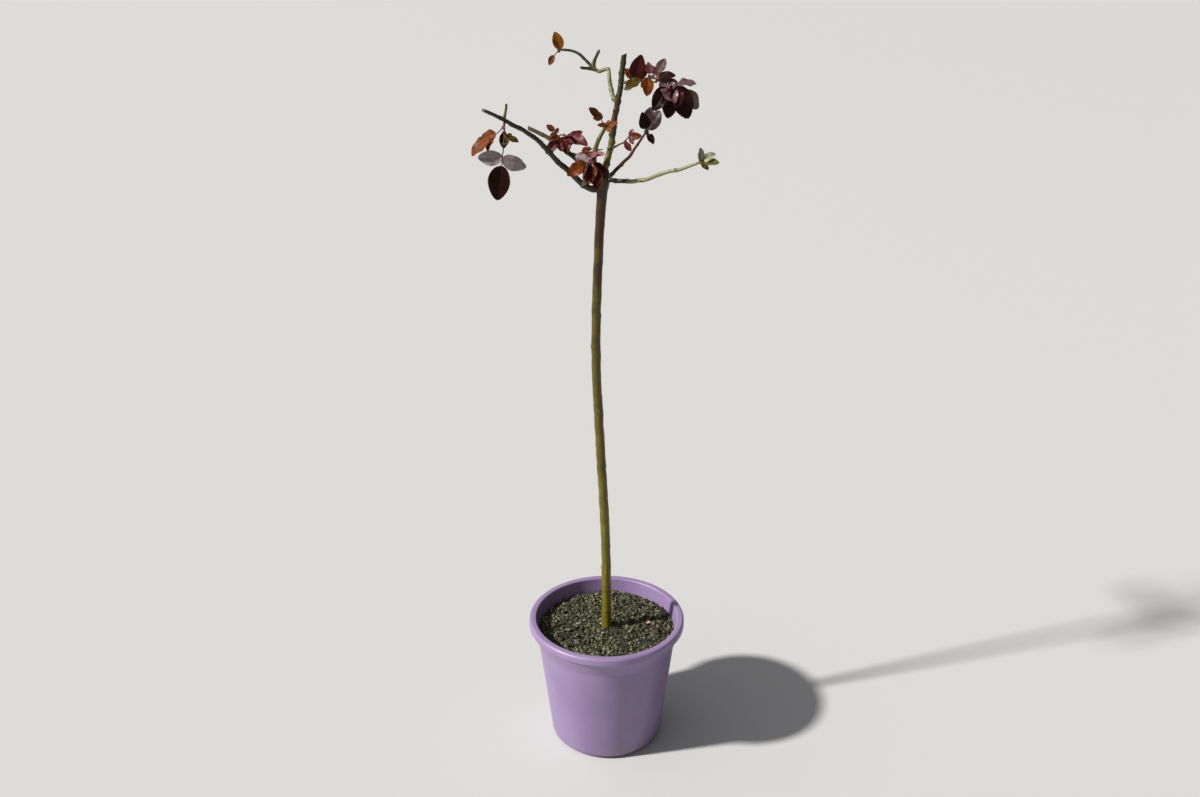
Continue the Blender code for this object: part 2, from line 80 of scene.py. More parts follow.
# Pot: the solid's sizes, with finer steps
POT_HEIGHT = 0.260
RIM_RADIUS = 0.150
RIM_INNER_RADIUS = 0.1360
BEAD_DEPTH = 0.016
BEAD_ROUND = 0.005
BEAD_EDGE_ROUND = 0.003
SHOULDER_HEIGHT = 0.212
SHOULDER_ROUND = 0.003
BODY_TOP_RADIUS = 0.132
BASE_RADIUS = 0.1085
FOOT_ROUND = 0.015
POT_WALL = 0.0035
POT_STEPS = 176
POT_ARC_STEPS = 8
POT_RING_COUNT = 3
POT_RING_DEPTH = 0.35 * MM
POT_RING_SLOPE = 0.6 * MM
DRAIN_COUNT = 6
RECESS_SIZE = (0.046, 0.040, 0.0025)
RECESS_RADIUS = 0.101
DRAIN_HOLE_RADIUS = 0.006
DRAIN_HOLE_AT = 0.088
DRAIN_HOLE_SIDES = 28
GATE_RADIUS = 0.007
GATE_RIM = 1.15
GATE_DEPTH = 0.6 * MM
POT_SHARP_ANGLE = 32

# Soil and its loose grains: name, colour, spacing and half sizes in mm, seed
SOIL_TOP = 0.236
SOIL_WALL_GAP = 0.0008
SOIL_RINGS = 56
SOIL_SECTORS = 132
SOIL_DIP = 0.0026
SOIL_LUMP = 0.0052
SOIL_MOUND = 0.022
SOIL_EDGE_FROM, SOIL_EDGE_WIDTH = 0.72, 0.28
SOIL_EDGE_DIP = 0.003
SOIL_WAVES = ((60, 0, 1.0), (130, 0.3, 0.8))
SOIL_FOOT_STEPS = 4
GRAIN_GROUND = 0.012
Grain = namedtuple("Grain", "name colour spacing smallest largest seed")
GRAINS = (
    Grain("grit_olive", (0.106, 0.104, 0.046), 8.0, 1.2, 4.8, 3),
    Grain("grit_grey", (0.185, 0.178, 0.122), 9.5, 1.0, 4.4, 8),
    Grain("grit_pale", (0.42, 0.39, 0.29), 17.0, 1.2, 2.8, 15),
    Grain("grit_dark", (0.018, 0.018, 0.010), 8.5, 1.4, 4.8, 21),
    Grain("grit_moss", (0.086, 0.102, 0.040), 10.5, 1.5, 3.6, 27),
    Grain("grit_crumb", (0.056, 0.057, 0.028), 4.0, 0.8, 1.6, 33),
)
# A fallen leaf or scrap on the soil: its place and length in mm, its heading and rise, and its skin.
Fallen = namedtuple("Fallen", "x y length turn rise skin")
FALLEN_LEAVES = (
    Fallen(72, 4, 25, 30, 6, 0),
    Fallen(77, 7, 11, -10, 24, 1),
    Fallen(98, -24, 18, 120, 4, 0),
    Fallen(-52, 6, 9, 200, 20, 1),
    Fallen(60, 14, 8, 75, 10, 1),
)
FALLEN_LIFT = 4.0 * MM
FALLEN_SKINS = (("dead_leaf", (0.050, 0.016, 0.009), 0.6, (0.10, 0.04, 0.02)),
                ("dry_scrap", (0.36, 0.28, 0.19), 0.7, (0.22, 0.16, 0.10)))
FALLEN_WAVES = 0.09
FALLEN_SEED = 5
GRAIN_CROWD = 400000.0
GRAIN_RAGGED = 0.30
GRAIN_POKE = 0.12
CLUMP_FROM = 2
# The compost bed is as dark as the shaded gaps between grains: partly its own dark colour, partly painted
# shade.
COMPOST_GAP_SHADE_COLOUR = (0.022, 0.022, 0.014)

# Bark
BARK_STEP = 2.0 * MM
BARK_SHINE = 0.28
TRUNK_SIDES = 44
BOUGH_SIDES = 24
TWIG_SIDES = 14
STALK_SIDES = 8
PRONG_SIDES = STALK_SIDES + 4
# Slow drift and finer ridges: their depth as a share of the girth, how fast they change round it,
# and their length.
GIRTH_DRIFT = (0.05, 0.8, 0.045)
RIDGES = (0.035, 3.2, 0.030)
KNOT_SPACING = 34 * MM
KNOT_TURN = 137.5
KNOT_LENGTH = 3.2 * MM
KNOT_REACH = 3
KNOT_SIZES = (0.6, 1.15)
FIRST_KNOT = (0.4, 0.8)
KNOT_STEPS = (0.7, 1.3)
SWELL_RISE = 0.07
BUD_RISE = 0.20
BUD_SPREAD = 0.55
CREASE_RISE = -0.05
CREASE_AT = 0.9
CREASE_WIDTH = 0.35
CREASE_SCAR = 0.6
COLLAR_SHARE = 0.30
COLLAR_LENGTH = 5.0 * MM
CUT_SLANT = 0.55
CUT_GIRTHS = 2.5
CUT_RINGS = ((0.86, False), (0.42, True), (0.24, True))
BARK_MAP_LENGTH = 0.05
KINK = 1.0 * MM
TRUNK_KINK = 0.4 * MM
KINK_LENGTH = 0.022
KINK_HOLD = 5
KINK_LAYERS = (2.1, 9.4)
KINK_APART = 7.3
PLAIN_AGES = ((0, 0.0), (1, 0.0))
NO_KNOTS = 1.0
PRONG_RADII = (2.9 * MM, 2.3 * MM)
PRONG_AGES = ((0, -0.6), (0.6, 0.0), (1, 0.6))
PRONG_TIP = 0.72
PRONG_BUD = 0.45
PRONG_SIDE_BUD = 3.6 * MM
PRONG_KNOT_SPACING = 6 * MM
TWIG_KNOT_SPACING = 9 * MM
TWIG_STEP = 1.0 * MM
BUD_PATH = (-0.3, 0.15, 0.5, 0.8, 1.0)
BUD_GIRTHS = (0.26, 0.36, 0.33, 0.18, 0.04)
BUD_SIDES = 10
STALK_BUD = 3.2 * MM
PRICKLE_SPACING = 15.0 * MM
PRICKLE_LENGTH = 3.4 * MM
PRICKLE_LEAN = 0.3
PRICKLE_SIDES = 7
PRICKLE_SEED = 4
PRICKLE_SMALLEST = 0.6
PRICKLE_GROUND_SIDES = 12
# A prickle's rings: height, half width, half depth and how far it hooks over, then its point.
PRICKLE_RINGS = ((-0.25, 0.42, 0.24, 0.0), (0.05, 0.30, 0.16, 0.02), (0.4, 0.15, 0.08, 0.07),
                 (0.75, 0.06, 0.04, 0.18))
PRICKLE_POINT = (-0.34, 0, 1.0)

# Leaves
LEAF_WIDTH_SHARE = 0.66
LEAF_FOLD = 0.28
LEAF_CURL = 0.16
LEAF_SINK = 2.0 * MM
ROOT_WIDTH = 0.03
BLADE_SKEW = 0.85
BLADE_FULLNESS = 0.6
LEAF_TEETH = 12
TOOTH_NOTCH = 0.075
TOOTH_LEAN = 0.35
BLADE_THICKNESS = 0.34 * MM
RIB_HEIGHT = 0.42 * MM
RIB_WIDTH = 0.11
RIB_TAPER = 0.7
TOOTH_SWEEP = 0.012
TOOTH_DIPS = (-0.1, 0.2)
TEETH_FROM, TEETH_SPAN = 0.07, 0.90
BLADE_END = ((0.985, 0.6), (1.0, 0.0))
EDGE_FROM, EDGE_WIDTH = 0.56, 0.44
GROOVE_DEPTH = 0.008
GROOVE_WIDTH = 0.09
FOLD_RANGE = (0.75, 1.2)
WAVE_COUNTS = (1.6, 2.6)
WAVE_LAG = 1.2
TWIST = 0.10
BLADE_COLUMNS = (-1.0, -0.80, -0.56, -0.32, -0.12, 0.0, 0.12, 0.32, 0.56, 0.80, 1.0)
SIDE_VEINS = 7
VEIN_LEAN = 1.1
QUILT_HEIGHT = 0.010
QUILT_FADES = (5, 6)
STIPULE_TURN = 24
STIPULE_LENGTHS = (5.5 * MM, 7.5 * MM)
BLADE_WAVES = (0.015, 0.045)
LEAF_GLOSS = 0.40
LEAF_SHINE = 0.32
UNDER_GLOSS = 0.6
VEIN_SHARE = 0.4
LEAF_SHARP_ANGLE = 75

# Growth, as in the solids
GAP = 0.3 * MM
STEM_LEAN = ((0.230, 0.0), (0.420, -0.002), (0.610, -0.0115), (0.810, -0.020), (1.010, -0.0145),
             (1.114, -0.0085))
STEM_RADII = ((0.236, 0.0100), (0.246, 0.0093), (0.276, 0.0089), (0.500, 0.0086), (0.800, 0.0082),
              (1.060, 0.0080), (1.092, 0.0092), (1.104, 0.0122), (1.120, 0.0124), (1.131, 0.0090))
STEM_STEP = 0.040
HEAD_STEP = 0.006
HEAD_FROM = 1.086
HEAD_TOP = 1.136
HEAD_TIP_RADIUS = 0.0045
STALK_RADIUS = 1.0 * MM
STALK_STEPS = 4
STALK_NEAR = 0.02
STALK_BEND = 1.4
STALK_TAPER = 0.7
PAIR_PLACES = {1: (), 3: (0.62,), 5: (0.72, 0.44)}
PAIR_SIZES = (0.74, 0.58)
PAIR_ROLLS = (11.0, 18.0)
PAIR_STAGGER = 0.03
LIMB_CLEARANCE = 1.5 * MM
STEM_START = 2.0 * MM
TWIG_RADIUS = 0.9 * MM
TWIG_TURN = 137.5
TWIG_TAPER = 0.6
WIDEST_AT = 0.45
RULE_RISES = (-20, 40)
RULE_PLACES = (0.3, 1.0)
RULE_STALKS = (12, 24)
RULE_BLADES = (18, 28)
RULE_LEAFLETS = (3, 5)
RULE_FACING = 80

# A limb grows from its parent at a share of the parent's length, by headings and lengths in mm.
Limb = namedtuple("Limb", "name parent at steps base tip")
LIMBS = (
    Limb("bough_left_front", "trunk", (-0.0145, -0.003, 1.096),
         ((-165, 5, 20), (-162, 43, 43), (-148, 45, 43), (-147, 46, 32), (-157, 41, 28), (-157, 28, 23),
          (-150, 31, 33), (-151, 26, 32)), 5.4, 2.7),
    Limb("bough_left_back", "trunk", (-0.0125, 0.006, 1.116),
         ((146, 16, 30), (153, 39, 39), (153, 27, 35), (151, 26, 27), (157, 18, 28)), 4.4, 3.2),
    Limb("bough_leader", "trunk", (-0.0075, 0.0, 1.118),
         ((0, 76, 14), (46, 66, 17), (39, 68, 17), (43, 83, 37), (31, 75, 22), (30, 79, 29), (26, 78, 20),
          (52, 83, 23), (37, 82, 22)), 5.4, 4.3),
    Limb("bough_second_leader", "trunk", (-0.0145, -0.004, 1.122),
         ((-154, 60, 18), (-61, 83, 28), (19, 65, 21), (24, 57, 10)), 4.5, 3.3),
    Limb("bough_right_rise", "trunk", (-0.0025, 0.006, 1.113),
         ((48, 15, 17), (50, 25, 14), (45, 32, 37), (50, 39, 30), (56, 30, 18)), 3.6, 1.9),
    Limb("bough_right_low", "trunk", (-0.0045, -0.003, 1.112),
         ((-30, 3, 15), (-29, 0, 32), (-37, 17, 30), (-25, 20, 34), (-23, 21, 22), (-28, 19, 24),
          (-19, 23, 16)), 3.9, 2.5),
    Limb("bough_back", "trunk", (-0.0095, 0.006, 1.110),
         ((112, 8, 34), (104, 14, 28), (110, 4, 24)), 4.0, 2.6),
    Limb("spur_left", "bough_left_front", 0.84, ((44, 73, 12), (53, 79, 14)), 2.2, 1.9),
    Limb("spur_left_hanging", "bough_left_front", 0.835, ((-87, -24, 14),), 1.9, 1.5),
    Limb("spur_left_back", "bough_left_back", 0.66, ((-62, 26, 9), (-40, 20, 6)), 2.0, 1.6),
    Limb("spur_leader_left", "bough_leader", 0.60, ((132, 42, 22), (104, 66, 38)), 3.8, 3.1),
    Limb("spur_leader_right", "bough_leader", 0.765, ((-30, 12, 8), (-18, 14, 10)), 2.2, 1.7),
    Limb("spur_leader_low", "bough_leader", 0.235, ((-41, 22, 16), (-41, 26, 12)), 1.9, 1.4),
    Limb("spur_head_front", "trunk", (-0.0115, -0.004, 1.117), ((-112, 26, 14), (-112, 34, 8)), 2.6, 2.1),
)

# A leaf: where on its mass's stem, the way its blade points and faces, stalk and blade in mm.
Leaf = namedtuple("Leaf", "at blade_way stalk blade leaflets facing spread", defaults=(1, (-90, 40), 66))
# A mass: the limb it grows from, its stem's steps in mm, the half sizes of its space, its own leaves,
# how many more the rule grows, and the rule's seed.
Mass = namedtuple("Mass", "name limb steps space leaves more seed")
MASSES = (
    Mass("foliage_left_hanging", "spur_left_hanging", ((-94, -67, 26),), (84, 48, 120),
         (Leaf(0.02, (-176, -34), 33, 38, 3, (-112, 48), 30),
          Leaf(0.58, (-8, -14), 9, 16, 3, (-80, 50)),
          Leaf(0.34, (-95, -66), 5, 22, 1, (-90, 10)),
          Leaf(0.95, (-146, -79), 39, 54, 3, (-92, 14), 76)), 0, 11),
    Mass("foliage_left_back", "spur_left_back", ((-40, 24, 10), (-30, 10, 10)), (76, 60, 60),
         (Leaf(0.95, (-36, -10), 10, 31, 5, (-96, 48)),
          Leaf(0.35, (-160, -38), 12, 26, 3, (-96, 35)),
          Leaf(0.10, (166, 40), 17, 15, 3, (-90, 30)),
          Leaf(0.60, (-70, -66), 8, 22, 1, (-90, 20)),
          Leaf(0.92, (-92, 20), 6, 20, 3, (-86, 40))), 0, 23),
    Mass("foliage_head_front", "spur_head_front", ((-116, 52, 16), (-124, 58, 16)), (68, 56, 60),
         (Leaf(0.70, (-158, -22), 11, 36, 3, (-80, 40)),
          Leaf(0.75, (-66, -54), 8, 38, 1, (-75, 15)),
          Leaf(0.95, (-124, -72), 8, 40, 1, (-30, 10)),
          Leaf(0.80, (-100, -50), 4, 36, 1, (-90, 40)),
          Leaf(0.90, (-40, 26), 10, 22, 3, (-90, 60))), 0, 5),
    Mass("foliage_top_left", "spur_leader_left",
         ((158, -12, 11), (157, -36, 8), (154, 36, 21), (160, 42, 31), (172, 3, 29)), (80, 44, 76),
         (Leaf(0.97, (-168, 72), 3, 27, 1, (-90, 20)),
          Leaf(0.98, (-170, -56), 16, 16, 1, (-90, 40)),
          Leaf(0.28, (-159, 4), 10, 15, 1, (-90, 60)),
          Leaf(0.32, (-24, 62), 15, 15, 1, (-90, 20))), 0, 7),
    Mass("foliage_top_right", "spur_leader_right", ((-18, 12, 34), (-26, -12, 44)), (108, 80, 96),
         (Leaf(0.05, (-56, 66), 6, 38, 1, (-92, 14)),
          Leaf(0.22, (-170, -24), 5, 28, 1, (-90, 50)),
          Leaf(0.36, (-96, -52), 3, 28, 1, (-84, 30)),
          Leaf(0.38, (-120, 72), 10, 17, 1, (-90, 30)),
          Leaf(0.44, (-6, 60), 15, 23, 3, (-90, 20)),
          Leaf(0.55, (-24, -34), 9, 50, 1, (-92, 42)),
          Leaf(0.80, (-142, -50), 12, 40, 1, (-78, 38)),
          Leaf(0.97, (-22, -67), 6, 53, 1, (-90, 10)),
          Leaf(0.86, (-112, -71), 14, 43, 1, (-88, 6)),
          Leaf(0.97, (0, 6), 6, 28, 1, (-90, 60)),
          Leaf(0.97, (12, -46), 20, 38, 1, (-70, 10)),
          Leaf(0.54, (-20, 16), 6, 26, 1, (-90, 40))), 1, 31),
    Mass("foliage_right_rise", "bough_right_rise", ((58, 20, 6),), (56, 48, 54),
         (Leaf(0.80, (-50, 78), 7, 37, 1, (-100, 8)),
          Leaf(0.95, (14, 56), 8, 36, 1, (-80, 22)),
          Leaf(0.60, (-110, 60), 10, 30, 1, (-90, 22)),
          Leaf(0.90, (-50, -42), 6, 18, 1, (-80, 20))), 0, 6),
    Mass("foliage_leader_low", "spur_leader_low", ((-30, 48, 14),), (36, 36, 38),
         (Leaf(0.95, (-24, 8), 5, 18, 3, (-90, 15)),
          Leaf(0.20, (-36, -45), 4, 15, 1, (-90, 20))), 0, 13),
    Mass("foliage_second_leader", "bough_second_leader", ((20, 62, 7),), (56, 40, 54),
         (Leaf(0.60, (-152, 42), 27, 18, 3, (-90, 20), 30),
          Leaf(0.50, (-24, 26), 8, 17, 3, (-90, 40)),
          Leaf(0.90, (-170, 8), 4, 10, 1, (-90, 30))), 0, 17),
    Mass("foliage_right_low", "bough_right_low", ((-24, 22, 5),), (42, 40, 40),
         (Leaf(0.60, (-60, 82), 6, 18, 1, (-60, 10)),
          Leaf(0.80, (-5, 34), 8, 20, 1, (-90, 40)),
          Leaf(0.95, (-16, 4), 8, 22, 1, (-90, 50)),
          Leaf(0.80, (-43, -30), 6, 13, 1, (-90, 20))), 0, 41),
    Mass("foliage_back", "bough_back", ((104, 12, 14),), (64, 64, 50), (), 5, 19),
)

# Leaf tints: the upper side and the under side. A spray's leaves take their mass's tints in turn,
# "a b" giving the end leaflet a and the side leaflets b.
TINTS = {
    "copper": ((0.125, 0.030, 0.003), (0.16, 0.050, 0.010)),
    "orange": ((0.165, 0.056, 0.003), (0.19, 0.075, 0.010)),
    "olive": ((0.046, 0.030, 0.002), (0.080, 0.062, 0.014)),
    "lime": ((0.105, 0.100, 0.011), (0.14, 0.140, 0.035)),
    "pale": ((0.20, 0.21, 0.125), (0.19, 0.21, 0.11)),
    "plum": ((0.012, 0.0030, 0.0014), (0.032, 0.014, 0.013)),
    # The next tint is a grey-pink, lighter than the dark red leaves it goes on: a painted reflection of the
    # sky on their glossy side.
    "smoke": ((0.105, 0.052, 0.056), (0.12, 0.070, 0.080)),
    # The next tint is a pale grey-mauve on leaves that are really dark purple: a painted reflection of the sky
    # on their glossy upper side.
    "dusk": ((0.175, 0.138, 0.146), (0.19, 0.155, 0.160)),
    "crimson": ((0.085, 0.009, 0.011), (0.12, 0.028, 0.034)),
    "wine": ((0.034, 0.0035, 0.0020), (0.062, 0.016, 0.015)),
    "rose": ((0.165, 0.050, 0.052), (0.20, 0.075, 0.080)),
    "rust": ((0.085, 0.018, 0.002), (0.11, 0.034, 0.010)),
}
VEINS = {
    "crimson": (0.30, 0.085, 0.10),
    "wine": (0.080, 0.013, 0.013),
    "smoke": (0.17, 0.11, 0.12),
    "pale": (0.34, 0.36, 0.25),
}
# How much a tint's upper side shines.
SHINE = {"wine": 0.08, "plum": 0.06, "crimson": 0.20, "rust": 0.12, "copper": 0.12, "orange": 0.12,
         "olive": 0.12, "dusk": 0.4, "smoke": 0.45}
# More leaves on a mass's stem, after those of the solids and within their reach.
FINER_LEAVES = {
    "foliage_top_right": (Leaf(0.06, (172, 48), 4, 20, 1, (-90, 20)),
                          Leaf(0.34, (-160, -52), 3, 15, 1, (-90, 30)),
                          Leaf(0.16, (-10, 62), 5, 22, 1, (-90, 24)),
                          Leaf(0.66, (-52, -40), 6, 40, 1, (-100, 50)),
                          Leaf(0.88, (-50, -62), 5, 36, 1, (-74, 10))),
    "foliage_head_front": (Leaf(0.80, (-24, -46), 8, 28, 1, (-80, 34)),
                           Leaf(0.55, (-70, -70), 5, 24, 1, (-86, 16)),
                           Leaf(0.97, (-60, 30), 7, 17, 3, (-90, 40))),
    "foliage_left_back": (Leaf(0.70, (-64, -4), 6, 22, 3, (-92, 44)),
                          Leaf(0.20, (-140, 6), 6, 15, 3, (-96, 40))),
}
# A tint of "prong" stands for a thick leafless side shoot.
# Some leaves take the pale grey-pink and grey-mauve tints, which are painted reflections of the sky on dark
# glossy leaves.
MASS_TINTS = {
    "foliage_left_hanging": ("copper", "olive lime", "plum", "plum dusk"),
    "foliage_left_back": ("crimson", "wine crimson", "rust", "olive", "crimson rose", "crimson wine",
                          "rust"),
    "foliage_head_front": ("copper dusk", "wine", "dusk", "rust", "rose crimson", "wine", "rust",
                           "rose crimson"),
    "foliage_top_left": ("orange", "rust", "prong", "prong"),
    "foliage_top_right": ("wine", "olive", "copper", "rose", "smoke rose", "smoke", "plum", "plum", "plum",
                          "smoke", "smoke", "plum", "crimson", "rust", "rose", "rust", "smoke", "crimson"),
    "foliage_right_rise": ("smoke", "dusk", "plum", "plum"),
    "foliage_leader_low": ("rust rose", "crimson"),
    "foliage_second_leader": ("rust copper", "copper orange", "rust"),
    "foliage_right_low": ("pale", "pale", "lime", "olive"),
    "foliage_back": ("wine crimson", "rust", "plum wine", "copper", "crimson"),
}
GREEN_LIMBS = ("bough_right_low", "spur_leader_left", "spur_left")
YOUNG_MASSES = ("foliage_top_left", "foliage_second_leader", "foliage_leader_low")
OPEN_ENDS = ("trunk", "bough_left_front", "bough_left_back", "bough_leader", "spur_left")

# Barks: the colours at ages -1, 0 and 1, and of scars.
BARKS = {
    "tan": ((0.148, 0.130, 0.012), (0.090, 0.072, 0.008), (0.038, 0.020, 0.004), (0.018, 0.010, 0.004)),
    "olive": ((0.19, 0.19, 0.085), (0.048, 0.042, 0.010), (0.036, 0.023, 0.007), (0.018, 0.010, 0.005)),
    "dark": ((0.110, 0.104, 0.014), (0.026, 0.032, 0.007), (0.060, 0.022, 0.009), (0.020, 0.009, 0.005)),
    "lime": ((0.15, 0.15, 0.022), (0.092, 0.088, 0.014), (0.062, 0.042, 0.011), (0.038, 0.016, 0.007)),
    "pale": ((0.25, 0.26, 0.135), (0.190, 0.190, 0.088), (0.020, 0.017, 0.009), (0.020, 0.016, 0.008)),
    "red": ((0.135, 0.090, 0.046), (0.066, 0.036, 0.015), (0.022, 0.011, 0.006), (0.018, 0.008, 0.005)),
}
STALK_COLOURS = ((0.16, 0.09, 0.05), (0.13, 0.045, 0.034), (0.10, 0.05, 0.03), (0.08, 0.03, 0.02))
# A limb's bark, its age along its length, and how close and how big its knots are.
Skin = namedtuple("Skin", "bark ages spacing knob", defaults=(24, 1.0))
SKINS = {
    "trunk": Skin("tan", ((0, -0.9), (0.3, -0.5), (0.6, 0.1), (0.85, 0.7), (1, 1.2)), 52, 0.55),
    "bough_left_front": Skin("olive", ((0, 0.6), (0.35, 0.5), (0.7, 0.2), (1, -0.1)), 22, 1.2),
    "bough_left_back": Skin("olive", ((0, 0.9), (0.5, 0.6), (1, 0.2)), 20, 1.4),
    "bough_leader": Skin("dark", ((0, -0.6), (0.30, -0.8), (0.38, 1.0), (0.62, 1.0), (0.68, 0.1), (1, 0.0)),
                         13, 1.6),
    "bough_second_leader": Skin("lime", ((0, 0.6), (0.3, 0.2), (1, -0.2)), 18, 1.2),
    "bough_right_rise": Skin("red", ((0, 1.4), (0.24, 1.4), (0.31, 0.2), (1, -0.4)), 22, 1.4),
    "bough_right_low": Skin("pale", ((0, 1.4), (0.23, 1.4), (0.26, 0.3), (0.4, 0.1), (1, -0.3)), 27, 1.8),
    "bough_back": Skin("olive", ((0, 0.9), (1, 0.0)), 22, 1.2),
    "spur_left": Skin("lime", ((0, 0.4), (1, 0.0)), 12, 1.0),
    "spur_leader_left": Skin("pale", ((0, 0.5), (0.25, 0.1), (1, -0.6)), 16, 1.2),
    "spur_leader_low": Skin("lime", ((0, 0.0), (1, 0.4)), 12, 1.0),
}
SPUR_SKIN = Skin("red", ((0, 0.6), (1, 0.2)), 12, 1.0)
# The bark of a mass's stem, and its age along it.
STEM_SKIN = ("red", ((0, 0.3), (1, 0.0)))
STEM_SKINS = {
    "foliage_top_left": ("olive", ((0, -1.0), (0.2, -0.8), (0.32, 0.2), (1, 0.6))),
    "foliage_right_low": ("pale", ((0, 0.0), (1, 0.0))),
    "foliage_second_leader": ("lime", ((0, 0.0), (1, 0.5))),
}


def heading(turn, rise):
    """The unit vector of a heading."""
    t, r = radians(turn), radians(rise)
    return Vector((cos(t) * cos(r), sin(t) * cos(r), sin(r)))


def blend(pairs, key):
    """Read a smooth curve through (key, value) pairs at key."""
    keys = [pair[0] for pair in pairs]
    values = [pair[1] for pair in pairs]
    last = len(keys) - 1
    i = max(0, min(last - 1, sum(k <= key for k in keys) - 1))
    share = (key - keys[i]) / (keys[i + 1] - keys[i])
    share = max(0.0, min(1.0, share))
    before, after = values[max(i - 1, 0)], values[min(i + 2, last)]
    a, b = values[i], values[i + 1]
    return 0.5 * (2 * a + (b - before) * share + (2 * before - 5 * a + 4 * b - after) * share ** 2
                  + (3 * a - before - 3 * b + after) * share ** 3)


def straight(pairs, key):
    """Read (key, value) pairs at key along straight lines."""
    for (k0, v0), (k1, v1) in zip(pairs, pairs[1:]):
        if key <= k1:
            return v0 + (v1 - v0) * max(0.0, key - k0) / (k1 - k0)
    return pairs[-1][1]


def walk(start, steps):
    """The points reached from start by (turn, rise, length in mm) steps."""
    points = [Vector(start)]
    for turn, rise, length in steps:
        points.append(points[-1] + heading(turn, rise) * length * MM)
    return points


def eased(points):
    """Round a path's corners once, keeping its ends."""
    path = [points[0]]
    for a, b in zip(points, points[1:]):
        path += [a.lerp(b, 0.25), a.lerp(b, 0.75)]
    return path + [points[-1]]


def point_on(path, share):
    """The point at a share of a path's length."""
    lengths = [(b - a).length for a, b in zip(path, path[1:])]
    left = share * sum(lengths)
    for a, b, length in zip(path, path[1:], lengths):
        if left <= length:
            return a.lerp(b, left / length)
        left -= length
    return path[-1].copy()


def distances(path):
    """How far along a path each of its points lies."""
    lengths = [0.0]
    for a, b in zip(path, path[1:]):
        lengths.append(lengths[-1] + (b - a).length)
    return lengths


def tapered(path, base, tip):
    """A radius for each point of a path, thinning evenly from base to tip."""
    lengths = distances(path)
    return [base + (tip - base) * length / lengths[-1] for length in lengths]


# Growth: the rule of the solids

def trunk_path():
    """The stem's centre line and radii, from the flat cut at the soil to the top of its swollen head."""
    heights = []
    z = SOIL_TOP + GAP
    while z < HEAD_TOP - HEAD_STEP / 2:
        heights.append(z)
        z += STEM_STEP if z < HEAD_FROM - STEM_STEP else HEAD_STEP
    heights.append(HEAD_TOP)
    path = [Vector((blend(STEM_LEAN, z), 0.0, z)) for z in heights]
    path[1] = Vector((path[0].x, 0.0, path[1].z))
    return path, [straight(STEM_RADII, z) for z in heights[:-1]] + [HEAD_TIP_RADIUS]


def limb_paths():
    """Every limb's centre line and radii by name, the trunk first."""
    paths = {"trunk": trunk_path()}
    for limb in LIMBS:
        if limb.parent == "trunk":
            start = limb.at
        else:
            start = point_on(paths[limb.parent][0], limb.at)
        path = eased(walk(start, limb.steps))
        paths[limb.name] = path, tapered(path, limb.base * MM, limb.tip * MM)
    return paths


def square_to(way, facing):
    """The unit vector nearest to facing that is square to way."""
    return (facing - way * facing.dot(way)).normalized()


def leaf_growth(leaf, stem):
    """A leaf's stalk path, and for each leaflet its root, way, face and length."""
    way = heading(*leaf.blade_way)
    before = point_on(stem, max(0.0, leaf.at - STALK_NEAR))
    after = point_on(stem, min(1.0, leaf.at + STALK_NEAR))
    outset = ((after - before).normalized() + way * STALK_BEND).normalized()
    stalk = [point_on(stem, leaf.at)]
    for i in range(STALK_STEPS):
        step_way = outset.lerp(way, (i + 0.5) / STALK_STEPS).normalized()
        stalk.append(stalk[-1] + step_way * leaf.stalk * MM / STALK_STEPS)
    face = square_to(way, heading(*leaf.facing))
    leaflets = [(stalk[-1] - way * LEAF_SINK, way, face, leaf.blade * MM + LEAF_SINK)]
    for place, size, roll in zip(PAIR_PLACES[leaf.leaflets], PAIR_SIZES, PAIR_ROLLS):
        for side in (-1, 1):
            side_way = Matrix.Rotation(radians(side * leaf.spread), 3, face) @ way
            side_face = Matrix.Rotation(radians(side * roll), 3, side_way) @ face
            root = point_on(stalk, place + side * PAIR_STAGGER)
            leaflets.append((root, side_way, side_face, leaf.blade * MM * size))
    return stalk, leaflets


def is_clear(point, path, radii):
    """Whether a point is clear of a limb."""
    for a, b, radius in zip(path, path[1:], radii):
        share = intersect_point_line(point, a, b)[1]
        if (point - a.lerp(b, max(0.0, min(1.0, share)))).length < radius + LIMB_CLEARANCE:
            return False
    return True


def leaf_fits(stalk, leaflets, centre, space, limbs):
    """Whether a leaf keeps to its mass's space and clear of the limbs."""
    samples = stalk[3:]
    for root, way, face, length in leaflets:
        side = face.cross(way) * length * LEAF_WIDTH_SHARE / 2
        middle = root + way * length * WIDEST_AT
        samples += [root + way * length, middle + side, middle - side]
    for point in samples:
        offset = point - centre
        if sum((offset[i] / (space[i] * MM)) ** 2 for i in range(3)) > 1:
            return False
        if not all(is_clear(point, path, radii) for path, radii in limbs.values()):
            return False
    return True


def mass_growth(mass, limbs):
    """A mass's stem path and radii, and the stalk and leaflets of each leaf that fits."""
    limb_path, limb_radii = limbs[mass.limb]
    way = (limb_path[-1] - limb_path[-2]).normalized()
    start = limb_path[-1] + way * GAP
    stem = [start] + eased(walk(start + way * STEM_START, mass.steps))
    centre = start.lerp(stem[-1], 0.5)
    rule = random.Random(mass.seed)
    turn = rule.uniform(0, 360)
    leaves = list(mass.leaves)
    for _ in range(mass.more):
        turn += TWIG_TURN
        rise = rule.uniform(*RULE_RISES)
        leaves.append(Leaf(rule.uniform(*RULE_PLACES), (turn, rise), rule.uniform(*RULE_STALKS),
                           rule.uniform(*RULE_BLADES), rule.choice(RULE_LEAFLETS), (turn, rise + RULE_FACING)))
    grown = [leaf_growth(leaf, stem) for leaf in leaves]
    fitting = [growth for growth in grown if leaf_fits(*growth, centre, mass.space, limbs)]
    return stem, tapered(stem, limb_radii[-1], max(TWIG_RADIUS, limb_radii[-1] * TWIG_TAPER)), fitting


# Meshes

